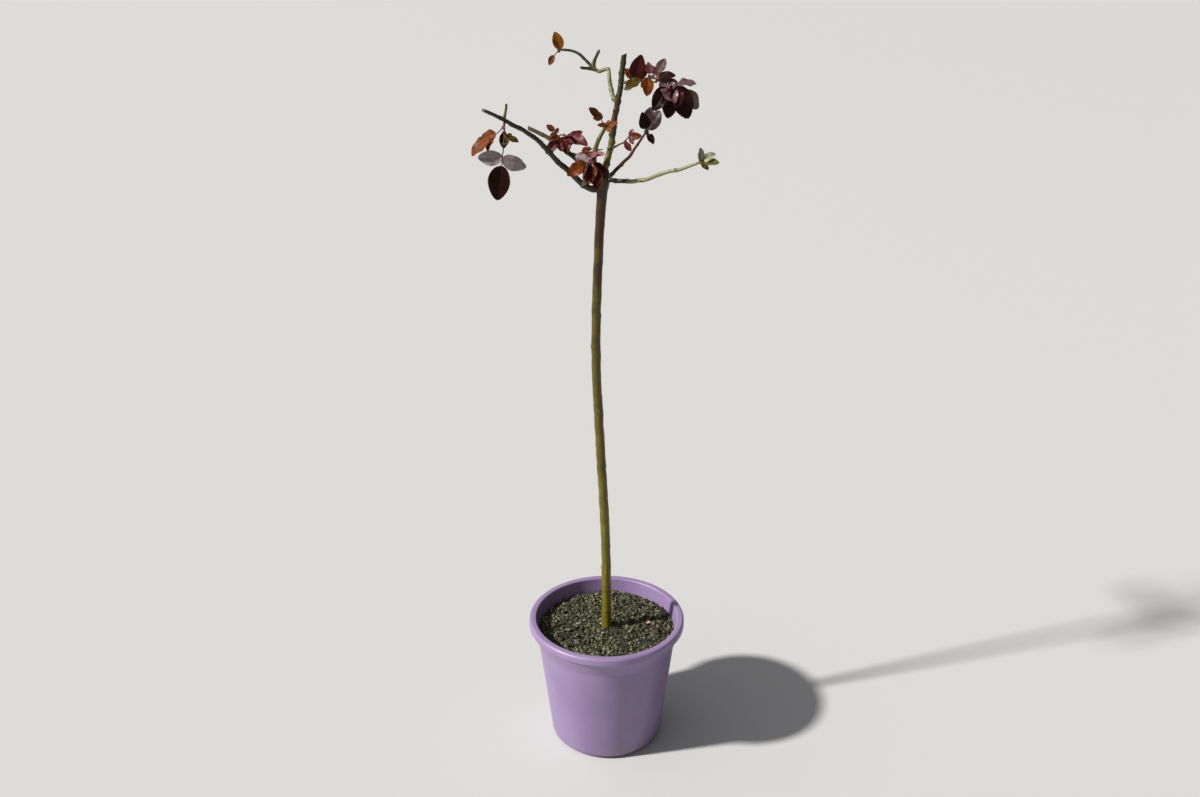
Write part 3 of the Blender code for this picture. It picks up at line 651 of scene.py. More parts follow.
class Shell:
    """Gathers grids of points into one mesh, each with a finish, a map and two values for its points."""

    def __init__(self):
        self.points = []
        self.age = []
        self.scar = []
        self.faces = []
        self.finishes = []
        self.corners = []

    def add_point(self, point, age=0.0, scar=0.0):
        """Add one point and return its number."""
        self.points.append(point)
        self.age.append(age)
        self.scar.append(scar)
        return len(self.points) - 1

    def add_face(self, numbers, corners, finish):
        """Add one face."""
        self.faces.append(numbers)
        self.corners += corners
        self.finishes.append(finish)

    def add_grid(self, rows, finish, across, along, closed=False):
        """Add faces between rows of point numbers, mapped by across for columns and along for rows."""
        width = len(rows[0])
        for i, (low, high) in enumerate(zip(rows, rows[1:])):
            for j in range(width if closed else width - 1):
                k = (j + 1) % width
                corners = [(across[j], along[i]), (across[j + 1], along[i]),
                           (across[j + 1], along[i + 1]), (across[j], along[i + 1])]
                self.add_face((low[j], low[k], high[k], high[j]), corners, finish)

    def add_cap(self, ring, centre, finish):
        """Close a ring of points with triangles round a centre point."""
        for j, point in enumerate(ring):
            self.add_face((point, ring[(j + 1) % len(ring)], centre), [(0.0, 0.0)] * 3, finish)

    def made(self, name, materials, sharp_angle=40):
        """Make the mesh object, with its faces turned outwards."""
        mesh = bpy.data.meshes.new(name)
        mesh.from_pydata(self.points, [], self.faces)
        for material in materials:
            mesh.materials.append(material)
        mesh.polygons.foreach_set("material_index", self.finishes)
        grain = mesh.uv_layers.new(name="grain")
        grain.data.foreach_set("uv", [value for corner in self.corners for value in corner])
        for label, values in (("age", self.age), ("scar", self.scar)):
            mesh.attributes.new(label, "FLOAT", "POINT").data.foreach_set("value", values)
        shape = bmesh.new()
        shape.from_mesh(mesh)
        bmesh.ops.recalc_face_normals(shape, faces=shape.faces)
        kept(shape, mesh)
        mesh.shade_smooth()
        mesh.set_sharp_from_angle(angle=radians(sharp_angle))
        return placed(name, mesh)


def kept(shape, mesh):
    """Write an edited shape to a mesh and let go of it."""
    shape.to_mesh(mesh)
    shape.free()
    return mesh


def placed(name, mesh):
    """Put a mesh in the scene as an object at the origin."""
    thing = bpy.data.objects.new(name, mesh)
    bpy.context.scene.collection.objects.link(thing)
    return thing


def baked(thing):
    """Apply an object's modifiers to its mesh."""
    graph = bpy.context.evaluated_depsgraph_get()
    graph.update()
    mesh = bpy.data.meshes.new_from_object(thing.evaluated_get(graph))
    thing.modifiers.clear()
    thing.data = mesh
    return thing


def dress(piece, slot, *nodes):
    """Say what a finished piece rides on and stands for; its slot is not used."""
    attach(piece, BODY)
    if nodes:
        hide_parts(*nodes)


# Bark

def resampled(path, radii, step):
    """A path smoothed and cut to even steps, with its radii and distances."""
    smooth = eased(eased(path))
    lengths = distances(smooth)
    old = distances(path)
    scale = old[-1] / lengths[-1]
    pairs = list(zip(old, radii))
    count = max(3, round(lengths[-1] / step))
    points, girths, along = [], [], []
    for i in range(count + 1):
        distance = lengths[-1] * i / count
        points.append(point_on(smooth, i / count))
        girths.append(straight(pairs, distance * scale))
        along.append(distance)
    return points, girths, along


def axes_along(points):
    """Two cross axes at each point of a path, turning as little as they can."""
    ways = [(b - a).normalized() for a, b in zip(points, points[1:])]
    ways = [ways[0]] + [(a + b).normalized() for a, b in zip(ways, ways[1:])] + [ways[-1]]
    first = Vector((1, 0, 0)) if abs(ways[0].x) < 0.9 else Vector((0, 1, 0))
    x_axis = square_to(ways[0], first)
    frames = []
    for way in ways:
        x_axis = square_to(way, x_axis)
        frames.append((way, x_axis, way.cross(x_axis)))
    return frames


def knots_on(length, spacing, knob, seed):
    """Where a limb's leaf scars lie: a distance, an angle round it and a size for each."""
    rule = random.Random(seed)
    knots = []
    distance = spacing * rule.uniform(*FIRST_KNOT)
    angle = rule.uniform(0, tau)
    while distance < length - 2 * KNOT_LENGTH:
        knots.append((distance, angle, knob * rule.uniform(*KNOT_SIZES)))
        distance += spacing * rule.uniform(*KNOT_STEPS)
        angle = (angle + radians(KNOT_TURN)) % tau
    return knots


def bark_height(distance, angle, girth, knots, seed):
    """How far bark stands out from a limb's plain round, and how scarred it is there."""
    round_place = Vector((cos(angle), sin(angle), 0.0))
    drift_depth, drift_turns, drift_length = GIRTH_DRIFT
    ridge_depth, ridge_turns, ridge_length = RIDGES
    drift = noise.noise(round_place * drift_turns + Vector((seed, 0, distance / drift_length)))
    ridges = noise.noise(round_place * ridge_turns + Vector((0, seed, distance / ridge_length)))
    height = girth * (drift_depth * drift + ridge_depth * ridges)
    scar = 0.0
    for at, turn, size in knots:
        off = (distance - at) / KNOT_LENGTH
        if abs(off) > KNOT_REACH:
            continue
        bend = abs((angle - turn + pi) % tau - pi)
        swell = exp(-off * off)
        bud = exp(-off * off - (bend / BUD_SPREAD) ** 2)
        crease = exp(-((off + CREASE_AT) / CREASE_WIDTH) ** 2)
        height += girth * size * (SWELL_RISE * swell + BUD_RISE * bud + CREASE_RISE * crease)
        scar = max(scar, bud * size, CREASE_SCAR * crease)
    return height, scar


def kinked(points, frames, length, seed, kink):
    """A limb's centre line with small kinks that leave its ends in place."""
    shifted = []
    for i, (point, (_, x_axis, y_axis)) in enumerate(zip(points, frames)):
        share = i / (len(points) - 1)
        hold = kink * min(1.0, KINK_HOLD * share, KINK_HOLD * (1 - share))
        across, ahead = (noise.noise(Vector((seed * KINK_APART, layer, share * length / KINK_LENGTH)))
                         for layer in KINK_LAYERS)
        shifted.append(point + (x_axis * across + y_axis * ahead) * hold * 2)
    return shifted


def add_bark(shell, path, radii, sides, seed, ages=PLAIN_AGES, spacing=KNOT_SPACING, finish=0, cut=0,
             collar=COLLAR_SHARE, step=BARK_STEP, knob=1.0, kink=0.0):
    """Add a limb's bark to a shell, with a slanting cut face of finish cut at its tip."""
    points, girths, along = resampled(path, radii, step)
    length = along[-1]
    knots = knots_on(length, spacing, knob, seed)
    frames = axes_along(points)
    points = kinked(points, frames, length, seed, kink)
    rows = []
    for point, girth, distance, (way, x_axis, y_axis) in zip(points, girths, along, frames):
        collared = girth * (1 + collar * exp(-distance / COLLAR_LENGTH))
        age = straight(ages, distance / length)
        slant = CUT_SLANT * max(0.0, 1 - (length - distance) / (CUT_GIRTHS * girth)) if cut else 0.0
        row = []
        for j in range(sides):
            angle = tau * j / sides
            height, scar = bark_height(distance, angle, girth, knots, seed)
            out = x_axis * cos(angle) + y_axis * sin(angle)
            place = point + out * (collared + height) + way * slant * girth * (cos(angle) - 1)
            row.append(shell.add_point(place, age, scar))
        rows.append(row)
    across = [j / sides for j in range(sides + 1)]
    shell.add_grid(rows, finish, across, [distance / BARK_MAP_LENGTH for distance in along], closed=True)
    close_end(shell, rows[0], finish, None)
    close_end(shell, rows[-1], finish, cut)


def close_end(shell, ring, finish, cut):
    """Close a limb's end: a plain cap, or a cut face with a rim of bark, wood and a sunk pith."""
    middle = sum((shell.points[number] for number in ring), Vector()) / len(ring)
    if not cut:
        shell.add_cap(ring, shell.add_point(middle, shell.age[ring[0]]), finish)
        return
    spin = [0.0] * (len(ring) + 1)
    last = ring
    for share, is_wood in CUT_RINGS:
        row = [shell.add_point(middle.lerp(shell.points[number], share), share) for number in ring]
        shell.add_grid([last, row], cut if is_wood else finish, spin, [0.0, 0.0], closed=True)
        last = row
    shell.add_cap(last, shell.add_point(middle, 0.0), cut)


# Leaves

def blade_half_width(u):
    """A leaflet's half width, as a share of its length, at a share u of its length."""
    half_width = LEAF_WIDTH_SHARE / 2 * max(sin(pi * min(u, 1.0) ** BLADE_SKEW), 0.0) ** BLADE_FULLNESS
    return max(half_width, ROOT_WIDTH * (1 - u))


def blade_rows(rule):
    """Shares of a leaflet's length for its rows, and how deep the edge is notched at each."""
    rows = [(0.0, 0.0)]
    for i in range(LEAF_TEETH):
        low = TEETH_FROM + TEETH_SPAN * i / LEAF_TEETH
        rows.append((low, 1.0))
        rows.append((low + TEETH_SPAN * (1 - TOOTH_LEAN) / LEAF_TEETH, rule.uniform(*TOOTH_DIPS)))
    return rows + list(BLADE_END)


def add_leaflet(shell, growth, finishes, rule, waves=0.02):
    """Add a leaflet: a thin folded blade with a toothed edge, a raised rib below and quilted sides."""
    root, way, face, length = growth
    side = face.cross(way)
    phase = rule.uniform(0, tau)
    fold = LEAF_FOLD * rule.uniform(*FOLD_RANGE)
    wave_count = rule.uniform(*WAVE_COUNTS)
    twist = rule.uniform(-TWIST, TWIST)
    rows = blade_rows(rule)
    upper, under = [], []
    for u, notch in rows:
        half_width = blade_half_width(u)
        top_row, low_row = [], []
        for v in BLADE_COLUMNS:
            edge = max(0.0, (abs(v) - EDGE_FROM) / EDGE_WIDTH)
            reach = half_width * (1 - TOOTH_NOTCH * notch * edge)
            back = notch * edge * TOOTH_SWEEP
            ripple = waves * sin(tau * wave_count * u + phase + (WAVE_LAG if v > 0 else 0.0)) * v * v
            quilt = QUILT_HEIGHT * cos(tau * SIDE_VEINS * (u - VEIN_LEAN * abs(v) * half_width))
            quilt *= min(1.0, QUILT_FADES[0] * abs(v)) * (1 - abs(v)) * min(1.0, QUILT_FADES[1] * (1 - u))
            groove = -GROOVE_DEPTH * exp(-(v / GROOVE_WIDTH) ** 2)
            height = fold * abs(v) * half_width - LEAF_CURL * u * u + ripple + quilt + groove
            height += twist * v * half_width * u
            place = root + length * (way * (u - back) + side * v * reach + face * height)
            thickness = BLADE_THICKNESS * (1 - 0.5 * edge)
            rib = RIB_HEIGHT * exp(-(v / RIB_WIDTH) ** 2) * (1 - RIB_TAPER * u)
            top_row.append(shell.add_point(place + face * thickness / 2, u, abs(v)))
            low_row.append(shell.add_point(place - face * (thickness / 2 + rib), u, abs(v)))
        upper.append(top_row)
        under.append(low_row)
    across = [(v + 1) / 2 for v in BLADE_COLUMNS]
    along = [u for u, _ in rows]
    shell.add_grid(upper, finishes[0], across, along)
    shell.add_grid([row[::-1] for row in under], finishes[1], across[::-1], along)
    rims = [outline_of(under), outline_of(upper)]
    shell.add_grid(rims, finishes[1], [0.5] * (len(rims[0]) + 1), [0.5, 0.5], closed=True)


def outline_of(rows):
    """The point numbers round a grid's edge, in order."""
    left = [row[0] for row in rows]
    right = [row[-1] for row in rows]
    return left + rows[-1][1:-1] + right[::-1] + rows[0][-2:0:-1]


def add_stipules(shell, stalk, face, finishes, rule):
    """Add the pair of narrow wings at a leaf stalk's foot."""
    way = (stalk[1] - stalk[0]).normalized()
    for side in (-1, 1):
        out = Matrix.Rotation(radians(side * STIPULE_TURN), 3, face) @ way
        length = rule.uniform(*STIPULE_LENGTHS)
        add_leaflet(shell, (stalk[0], out, square_to(out, face), length), finishes, rule)


def add_bud(shell, place, way, size, finish, seed):
    """Add a plump pointed bud."""
    path = [place + way * size * share for share in BUD_PATH]
    add_bark(shell, path, [size * share for share in BUD_GIRTHS], BUD_SIDES, seed, finish=finish,
             spacing=NO_KNOTS, collar=0.0, step=0.5 * MM)


# Finishes

def put(tree, socket, value):
    """Join another socket to a socket, or set its value."""
    if isinstance(value, bpy.types.NodeSocket):
        tree.links.new(value, socket)
    elif socket.type == "RGBA":
        socket.default_value = (*value[:3], 1.0)
    else:
        socket.default_value = value


def added(tree, kind, values, output=0, **settings):
    """Add a node, join or set its inputs, and return one of its outputs."""
    node = tree.nodes.new(kind)
    for name, value in settings.items():
        setattr(node, name, value)
    for key, value in values.items():
        put(tree, node.inputs[key], value)
    return node.outputs[output]


def mixed(tree, share, a, b):
    """A mix of two colours."""
    node = added(tree, "ShaderNodeMix", {"Factor": share}, data_type="RGBA").node
    for label, colour in (("A", a), ("B", b)):
        put(tree, next(s for s in node.inputs if s.name == label and s.type == "RGBA"), colour)
    return next(s for s in node.outputs if s.type == "RGBA")


class Recipe:
    """A material under construction: adds nodes and joins their sockets."""

    def __init__(self, name, roughness):
        self.material = bpy.data.materials.new(name)
        self.material.use_nodes = True
        self.tree = self.material.node_tree
        self.shader = self.tree.nodes["Principled BSDF"]
        self.shader.inputs["Roughness"].default_value = roughness

    def place(self):
        """Object coordinates."""
        return added(self.tree, "ShaderNodeTexCoord", {}, "Object")

    def value_of(self, name):
        """A named value of the mesh."""
        return added(self.tree, "ShaderNodeAttribute", {}, "Fac", attribute_name=name)

    def parts(self, vector):
        """A vector's parts."""
        return added(self.tree, "ShaderNodeSeparateXYZ", {"Vector": vector}).node.outputs

    def spots(self, scale, detail=3.0, stretch=None):
        """A cloudy pattern in place, stretched by a scale for each axis."""
        place = self.place()
        if stretch is not None:
            place = added(self.tree, "ShaderNodeMapping", {"Vector": place, "Scale": stretch})
        return added(self.tree, "ShaderNodeTexNoise",
                     {"Vector": place, "Scale": scale, "Detail": detail, "Roughness": 0.55}, "Fac")

    def maths(self, operation, a, b=0.0):
        """A sum of one or two values."""
        return added(self.tree, "ShaderNodeMath", {0: a, 1: b}, operation=operation)

    def ranged(self, value, low, high, to_low=0.0, to_high=1.0):
        """A value stretched from one range to another and held there."""
        return added(self.tree, "ShaderNodeMapRange",
                     {"Value": value, "From Min": low, "From Max": high,
                      "To Min": to_low, "To Max": to_high}, interpolation_type="SMOOTHSTEP")

    def layered(self, base, *layers):
        """A colour with others over it: a pattern's range, the shares that it stands for, and the colour."""
        for pattern, low, high, least, most, colour in layers:
            base = mixed(self.tree, self.ranged(pattern, low, high, least, most), base, colour)
        return base

    def bumped(self, height, strength, depth):
        """Give the surface relief."""
        normal = added(self.tree, "ShaderNodeBump",
                       {"Height": height, "Strength": strength, "Distance": depth})
        self.tree.links.new(normal, self.shader.inputs["Normal"])

    def finished(self, colour, roughness=None, shine=None):
        """Join the colour and roughness, and set how much the surface shines."""
        put(self.tree, self.shader.inputs["Base Color"], colour)
        if roughness is not None:
            put(self.tree, self.shader.inputs["Roughness"], roughness)
        if shine is not None:
            self.shader.inputs["Specular IOR Level"].default_value = shine
        return self.material


def shaded(colour, factor):
    """A colour made lighter or darker."""
    return tuple(min(1.0, part * factor) for part in colour)


def bark_finish(name, fresh, young, old, scar_colour, roughness=0.34):
    """Satin bark, coloured by its age from fresh by young to old, dark at scars and streaked along."""
    recipe = Recipe(name, roughness)
    streaks = recipe.spots(1.0, 4.0, (420, 420, 38))
    blotches = recipe.spots(38.0, 3.0)
    freckles = recipe.spots(620.0, 1.0)
    age = recipe.maths("ADD", recipe.value_of("age"), recipe.ranged(blotches, 0.35, 0.7, -0.25, 0.25))
    base = recipe.layered(young,
                          (age, 0.0, 1.0, 0.0, 1.0, old),
                          (age, -1.0, 0.0, 1.0, 0.0, fresh),
                          (streaks, 0.45, 0.75, 0.0, 0.6, shaded(old, 0.5)),
                          (freckles, 0.64, 0.72, 0.0, 0.35, shaded(young, 1.8)),
                          (recipe.value_of("scar"), 0.25, 0.8, 0.0, 0.9, scar_colour))
    recipe.bumped(recipe.maths("ADD", streaks, recipe.maths("MULTIPLY", freckles, 0.4)), 0.5, 0.0006)
    gloss = recipe.ranged(streaks, 0.3, 0.7, roughness - 0.08, roughness + 0.15)
    return recipe.finished(base, gloss, BARK_SHINE)


def cut_finish():
    """Dried cut wood: pale pith in a darker ring."""
    recipe = Recipe("cut_wood", 0.8)
    grain = recipe.spots(900.0, 2.0)
    base = recipe.layered((0.30, 0.25, 0.13),
                          (recipe.value_of("age"), 0.10, 0.45, 0.0, 1.0, (0.075, 0.058, 0.026)),
                          (grain, 0.4, 0.7, 0.0, 0.5, (0.04, 0.032, 0.016)))
    recipe.bumped(grain, 0.5, 0.0004)
    return recipe.finished(base)


def leaf_finish(name, colour, gloss, shine, vein_colour):
    """A leaf's skin: a plain colour, softly mottled, with paler veins."""
    recipe = Recipe(name, gloss)
    across, along, _ = recipe.parts(added(recipe.tree, "ShaderNodeUVMap", {}, uv_map="grain"))
    off = recipe.maths("ABSOLUTE", recipe.maths("SUBTRACT", across, 0.5))
    rib = recipe.ranged(off, 0.012, 0.035, 1.0, 0.0)
    lean = recipe.maths("SUBTRACT", along, recipe.maths("MULTIPLY", off, 0.55))
    turn = recipe.maths("MULTIPLY", lean, tau * SIDE_VEINS)
    side_veins = recipe.ranged(recipe.maths("COSINE", turn), -0.98, -0.80, 1.0, 0.0)
    veins = recipe.maths("MAXIMUM", rib, recipe.maths("MULTIPLY", side_veins, 0.55))
    mottle = recipe.spots(170.0, 3.0)
    base = recipe.layered(shaded(colour, 0.78), (mottle, 0.35, 0.7, 0.0, 1.0, shaded(colour, 1.28)))
    base = mixed(recipe.tree, recipe.maths("MULTIPLY", veins, VEIN_SHARE), base, vein_colour)
    fine = recipe.spots(1500.0, 2.0)
    recipe.bumped(recipe.maths("SUBTRACT", recipe.maths("MULTIPLY", fine, 0.35), veins), 0.35, 0.0003)
    return recipe.finished(base, recipe.ranged(mottle, 0.3, 0.7, gloss - 0.06, gloss + 0.08), shine)


def pot_finish():
    """Lilac moulded plastic, satin, paler towards the rim as a painted highlight, and dusty at the foot."""
    recipe = Recipe("lilac_plastic", 0.4)
    clouds = recipe.spots(9.0, 3.0)
    fine = recipe.spots(1400.0, 2.0)
    scuffs = recipe.spots(1.0, 4.0, (26, 26, 160))
    height = recipe.parts(recipe.place())["Z"]
    # Towards the rim the lilac is mixed with a paler lilac: a painted highlight on the rolled rim.
    base = recipe.layered((0.208, 0.145, 0.290),
                          (clouds, 0.3, 0.7, 0.0, 1.0, (0.246, 0.176, 0.328)),
                          (height, 0.205, 0.262, 0.0, 0.15, (0.36, 0.27, 0.46)))
    foot = recipe.ranged(height, 0.0, 0.06, 0.5, 0.0)
    dust = recipe.maths("MULTIPLY", foot, recipe.ranged(clouds, 0.35, 0.6))
    specks = recipe.ranged(recipe.spots(260.0, 2.0), 0.66, 0.72, 0.0, 0.35)
    base = mixed(recipe.tree, recipe.maths("MAXIMUM", dust, specks), base, (0.23, 0.18, 0.22))
    recipe.bumped(recipe.maths("ADD", fine, recipe.maths("MULTIPLY", scuffs, 1.5)), 0.10, 0.0005)
    worn = recipe.maths("ADD", scuffs, recipe.maths("MULTIPLY", clouds, 0.5))
    return recipe.finished(base, recipe.ranged(worn, 0.5, 1.0, 0.30, 0.48))


def grain_finish(name, colour):
    """A grain's plain colour with a little crumb, in lighter and darker clumps."""
    recipe = Recipe(name, 0.9)
    crumb = recipe.spots(900.0, 2.0)
    base = recipe.layered(shaded(colour, 0.75),
                          (crumb, 0.3, 0.7, 0.0, 1.0, shaded(colour, 1.55)),
                          (recipe.spots(115.0, 1.0), 0.44, 0.62, 0.0, 0.80, shaded(colour, 0.30)),
                          (recipe.spots(52.0, 2.0), 0.46, 0.66, 0.0, 0.75, shaded(colour, 0.28)))
    recipe.bumped(crumb, 0.6, 0.0004)
    return recipe.finished(base)


# Stage

def set_camera():
    """The camera."""
    camera = bpy.data.cameras.new("camera")
    camera.lens = CAMERA_LENS
    camera.sensor_width = CAMERA_SENSOR
    camera.clip_end = 100.0
    holder = bpy.data.objects.new("camera", camera)
    holder.location = CAMERA_AT
    holder.rotation_euler = (radians(90 - CAMERA_DIP), 0.0, 0.0)
    bpy.context.scene.collection.objects.link(holder)
    bpy.context.scene.camera = holder


def set_stage():
    """A pale floor under an even sky and a soft sun from the left."""
    half = FLOOR_SIZE / 2
    mesh = bpy.data.meshes.new("floor")
    corners = [(-half, -half, 0), (half, -half, 0), (half, half, 0), (-half, half, 0)]
    mesh.from_pydata(corners, [], [(0, 1, 2, 3)])
    mesh.materials.append(Recipe("pale_floor", 0.9).finished(FLOOR_COLOUR))
    placed("floor", mesh)
    world = bpy.data.worlds.new("even_sky")
    world.use_nodes = True
    tree = world.node_tree
    way = added(tree, "ShaderNodeTexCoord", {}, "Generated")
    aside = added(tree, "ShaderNodeSeparateXYZ", {"Vector": way}, "X")
    across = added(tree, "ShaderNodeMapRange", {"Value": aside, "From Min": -1.0},
                   interpolation_type="SMOOTHSTEP")
    put(tree, tree.nodes["Background"].inputs["Color"], mixed(tree, across, SKY_LEFT, SKY_RIGHT))
    bpy.context.scene.world = world
    lamp = bpy.data.lights.new("soft_sun", "SUN")
    lamp.energy = SUN_STRENGTH
    lamp.angle = radians(SUN_SPREAD)
    lamp.color = SUN_COLOUR
    sun = bpy.data.objects.new("soft_sun", lamp)
    sun.rotation_mode = "QUATERNION"
    sun.rotation_quaternion = heading(*SUN_HEADING).to_track_quat("Z", "Y")
    bpy.context.scene.collection.objects.link(sun)


# Scattering by Geometry Nodes

def scatter_tree():
    """Spread turned and scaled copies of a shape over a surface, as one mesh."""
    tree = bpy.data.node_groups.new("scatter", "GeometryNodeTree")
    for name, kind in (("Geometry", "Geometry"), ("Shape", "Object"), ("Crowd", "Float"),
                       ("Spacing", "Float"), ("Smallest", "Vector"), ("Largest", "Vector"),
                       ("Lean", "Float"), ("Seed", "Int"), ("Finish", "Material")):
        tree.interface.new_socket(name, in_out="INPUT", socket_type="NodeSocket" + kind)
    tree.interface.new_socket("Geometry", in_out="OUTPUT", socket_type="NodeSocketGeometry")
    given = tree.nodes.new("NodeGroupInput").outputs
    lean, seed = given["Lean"], given["Seed"]
    spread = added(tree, "GeometryNodeDistributePointsOnFaces",
                   {"Mesh": given["Geometry"], "Distance Min": given["Spacing"],
                    "Density Max": given["Crowd"], "Seed": seed}, distribute_method="POISSON").node.outputs
    shape = added(tree, "GeometryNodeObjectInfo", {"Object": given["Shape"]}, "Geometry")
    size = added(tree, "FunctionNodeRandomValue",
                 {"Min": given["Smallest"], "Max": given["Largest"], "Seed": seed}, data_type="FLOAT_VECTOR")
    back = added(tree, "ShaderNodeMath", {0: lean, 1: -1.0}, operation="MULTIPLY")
    least = added(tree, "ShaderNodeCombineXYZ", {"X": back, "Y": back})
    most = added(tree, "ShaderNodeCombineXYZ", {"X": lean, "Y": lean, "Z": tau})
    turn = added(tree, "FunctionNodeRandomValue", {"Min": least, "Max": most, "Seed": seed},
                 data_type="FLOAT_VECTOR")
    turned = added(tree, "FunctionNodeRotateRotation", {"Rotation": spread["Rotation"], "Rotate By": turn},
                   rotation_space="LOCAL")
    copies = added(tree, "GeometryNodeInstanceOnPoints",
                   {"Points": spread["Points"], "Instance": shape, "Rotation": turned, "Scale": size})
    realized = added(tree, "GeometryNodeRealizeInstances", {"Geometry": copies})
    coloured = added(tree, "GeometryNodeSetMaterial", {"Geometry": realized, "Material": given["Finish"]})
    put(tree, tree.nodes.new("NodeGroupOutput").inputs["Geometry"], coloured)
    return tree


def scattered(name, surface, tree, **values):
    """A new piece: copies of a shape scattered over a surface."""
    piece = placed(name, surface.data.copy())
    spread = piece.modifiers.new("scatter", "NODES")
    spread.node_group = tree
    for socket in tree.interface.items_tree:
        if socket.in_out == "INPUT" and socket.name in values:
            spread[socket.identifier] = values[socket.name]
    bpy.context.view_layer.update()
    return baked(piece)


# Pot and soil

def arc(radius, height, size, start, end, count):
    """Points on a quarter or so of a circle, in a profile."""
    points = []
    for i in range(count + 1):
        angle = radians(start + (end - start) * i / count)
        points.append((radius + size * cos(angle), height + size * sin(angle)))
    return points


def pot_profile():
    """The pot's turned outline: inside from the floor up, over the rolled rim, and down to the foot."""
    bead_foot = POT_HEIGHT - BEAD_DEPTH
    edge = BEAD_EDGE_ROUND
    steps = POT_ARC_STEPS
    profile = [(0.0, POT_WALL)]
    profile += arc(BASE_RADIUS - FOOT_ROUND, FOOT_ROUND, FOOT_ROUND - POT_WALL, -90, 0, steps)
    profile.append((BODY_TOP_RADIUS - POT_WALL, SHOULDER_HEIGHT))
    profile += arc(RIM_INNER_RADIUS + edge, POT_HEIGHT - edge, edge, 180, 90, steps)
    profile += arc(RIM_RADIUS - BEAD_ROUND, POT_HEIGHT - BEAD_ROUND, BEAD_ROUND, 90, 0, steps)
    profile += arc(RIM_RADIUS - edge, bead_foot + edge, edge, 0, -90, steps)
    high = Vector((RIM_RADIUS - edge, bead_foot))
    low = Vector((BODY_TOP_RADIUS + SHOULDER_ROUND / 2, SHOULDER_HEIGHT + SHOULDER_ROUND))
    for i in range(1, POT_RING_COUNT + 1):
        at = high.lerp(low, i / (POT_RING_COUNT + 1))
        profile += [(at.x, at.y + POT_RING_SLOPE), (at.x - POT_RING_DEPTH, at.y),
                    (at.x - POT_RING_DEPTH, at.y - POT_RING_SLOPE)]
    profile.append(tuple(low))
    profile.append((BODY_TOP_RADIUS + SHOULDER_ROUND / 6, SHOULDER_HEIGHT + SHOULDER_ROUND / 4))
    profile.append((BODY_TOP_RADIUS, SHOULDER_HEIGHT - SHOULDER_ROUND))
    profile += arc(BASE_RADIUS - FOOT_ROUND, FOOT_ROUND, FOOT_ROUND, 0, -90, steps)
    return profile + [(GATE_RADIUS * GATE_RIM, 0.0), (GATE_RADIUS, GATE_DEPTH), (0.0, GATE_DEPTH)]


def turned_mesh(name, profile, steps):
    """A closed mesh turned about Z from a profile of (radius, height) points."""
    shape = bmesh.new()
    path = [shape.verts.new((radius, 0.0, height)) for radius, height in profile]
    edges = [shape.edges.new(pair) for pair in zip(path, path[1:])]
    bmesh.ops.spin(shape, geom=path + edges, cent=(0, 0, 0), axis=(0, 0, 1), angle=tau, steps=steps,
                   use_merge=True)
    bmesh.ops.remove_doubles(shape, verts=shape.verts, dist=0.01 * MM)
    bmesh.ops.recalc_face_normals(shape, faces=shape.faces)
    return kept(shape, bpy.data.meshes.new(name))


def drain_cutters():
    """The shapes that are taken out of the pot's foot."""
    cutters = bpy.data.collections.new("drain_cutters")
    for i in range(DRAIN_COUNT):
        turn = radians(-90 + (i + 0.5) * 360 / DRAIN_COUNT)
        way = Vector((cos(turn), sin(turn), 0.0))
        shape = bmesh.new()
        box = bmesh.ops.create_cube(shape, size=1.0)["verts"]
        bmesh.ops.scale(shape, verts=box, vec=(RECESS_SIZE[0], RECESS_SIZE[1], RECESS_SIZE[2] * 2))
        bmesh.ops.rotate(shape, verts=box, cent=(0, 0, 0), matrix=Matrix.Rotation(turn + pi / 2, 3, "Z"))
        bmesh.ops.translate(shape, verts=box, vec=way * RECESS_RADIUS)
        add_cutter(cutters, shape)
        shape = bmesh.new()
        hole = Matrix.Translation(way * DRAIN_HOLE_AT)
        bmesh.ops.create_cone(shape, cap_ends=True, segments=DRAIN_HOLE_SIDES, radius1=DRAIN_HOLE_RADIUS,
                              radius2=DRAIN_HOLE_RADIUS, depth=POT_WALL * 4, matrix=hole)
        add_cutter(cutters, shape)
    return cutters


def add_cutter(cutters, shape):
    """Keep a shape as a cutter object."""
    cutters.objects.link(bpy.data.objects.new("cutter", kept(shape, bpy.data.meshes.new("cutter"))))


def make_pot():
    """The pot with its mould rings, recesses, drain holes and gate mark."""
    pot = placed("pot_shell", turned_mesh("pot_shell", pot_profile(), POT_STEPS))
    cutters = drain_cutters()
    cut = pot.modifiers.new("drainage", "BOOLEAN")
    cut.operand_type = "COLLECTION"
    cut.collection = cutters
    cut.solver = "EXACT"
    baked(pot)
    for cutter in list(cutters.objects):
        bpy.data.objects.remove(cutter)
    bpy.data.collections.remove(cutters)
    pot.data.materials.clear()
    pot.data.materials.append(pot_finish())
    pot.data.shade_smooth()
    pot.data.set_sharp_from_angle(angle=radians(POT_SHARP_ANGLE))
    dress(pot, "pot_plastic", "pot")


def inner_radius(height):
    """The inner radius of the pot's upper wall at a height."""
    low = BODY_TOP_RADIUS - POT_WALL
    share = (height - SHOULDER_HEIGHT) / (POT_HEIGHT - BEAD_EDGE_ROUND - SHOULDER_HEIGHT)
    return low + (RIM_INNER_RADIUS - low) * share


def soil_height(x, y):
    """The soil's uneven surface: lower at the wall, lumpy all over."""
    radius = (x * x + y * y) ** 0.5
    lumps = sum(depth * noise.noise(Vector((x, y, layer)) * scale) for scale, layer, depth in SOIL_WAVES)
    edge = max(0.0, radius / inner_radius(SOIL_TOP) - SOIL_EDGE_FROM) / SOIL_EDGE_WIDTH
    open_ground = 1 - exp(-(radius / SOIL_MOUND) ** 4)
    return SOIL_TOP + open_ground * (SOIL_LUMP * lumps - SOIL_DIP) - SOIL_EDGE_DIP * edge * edge


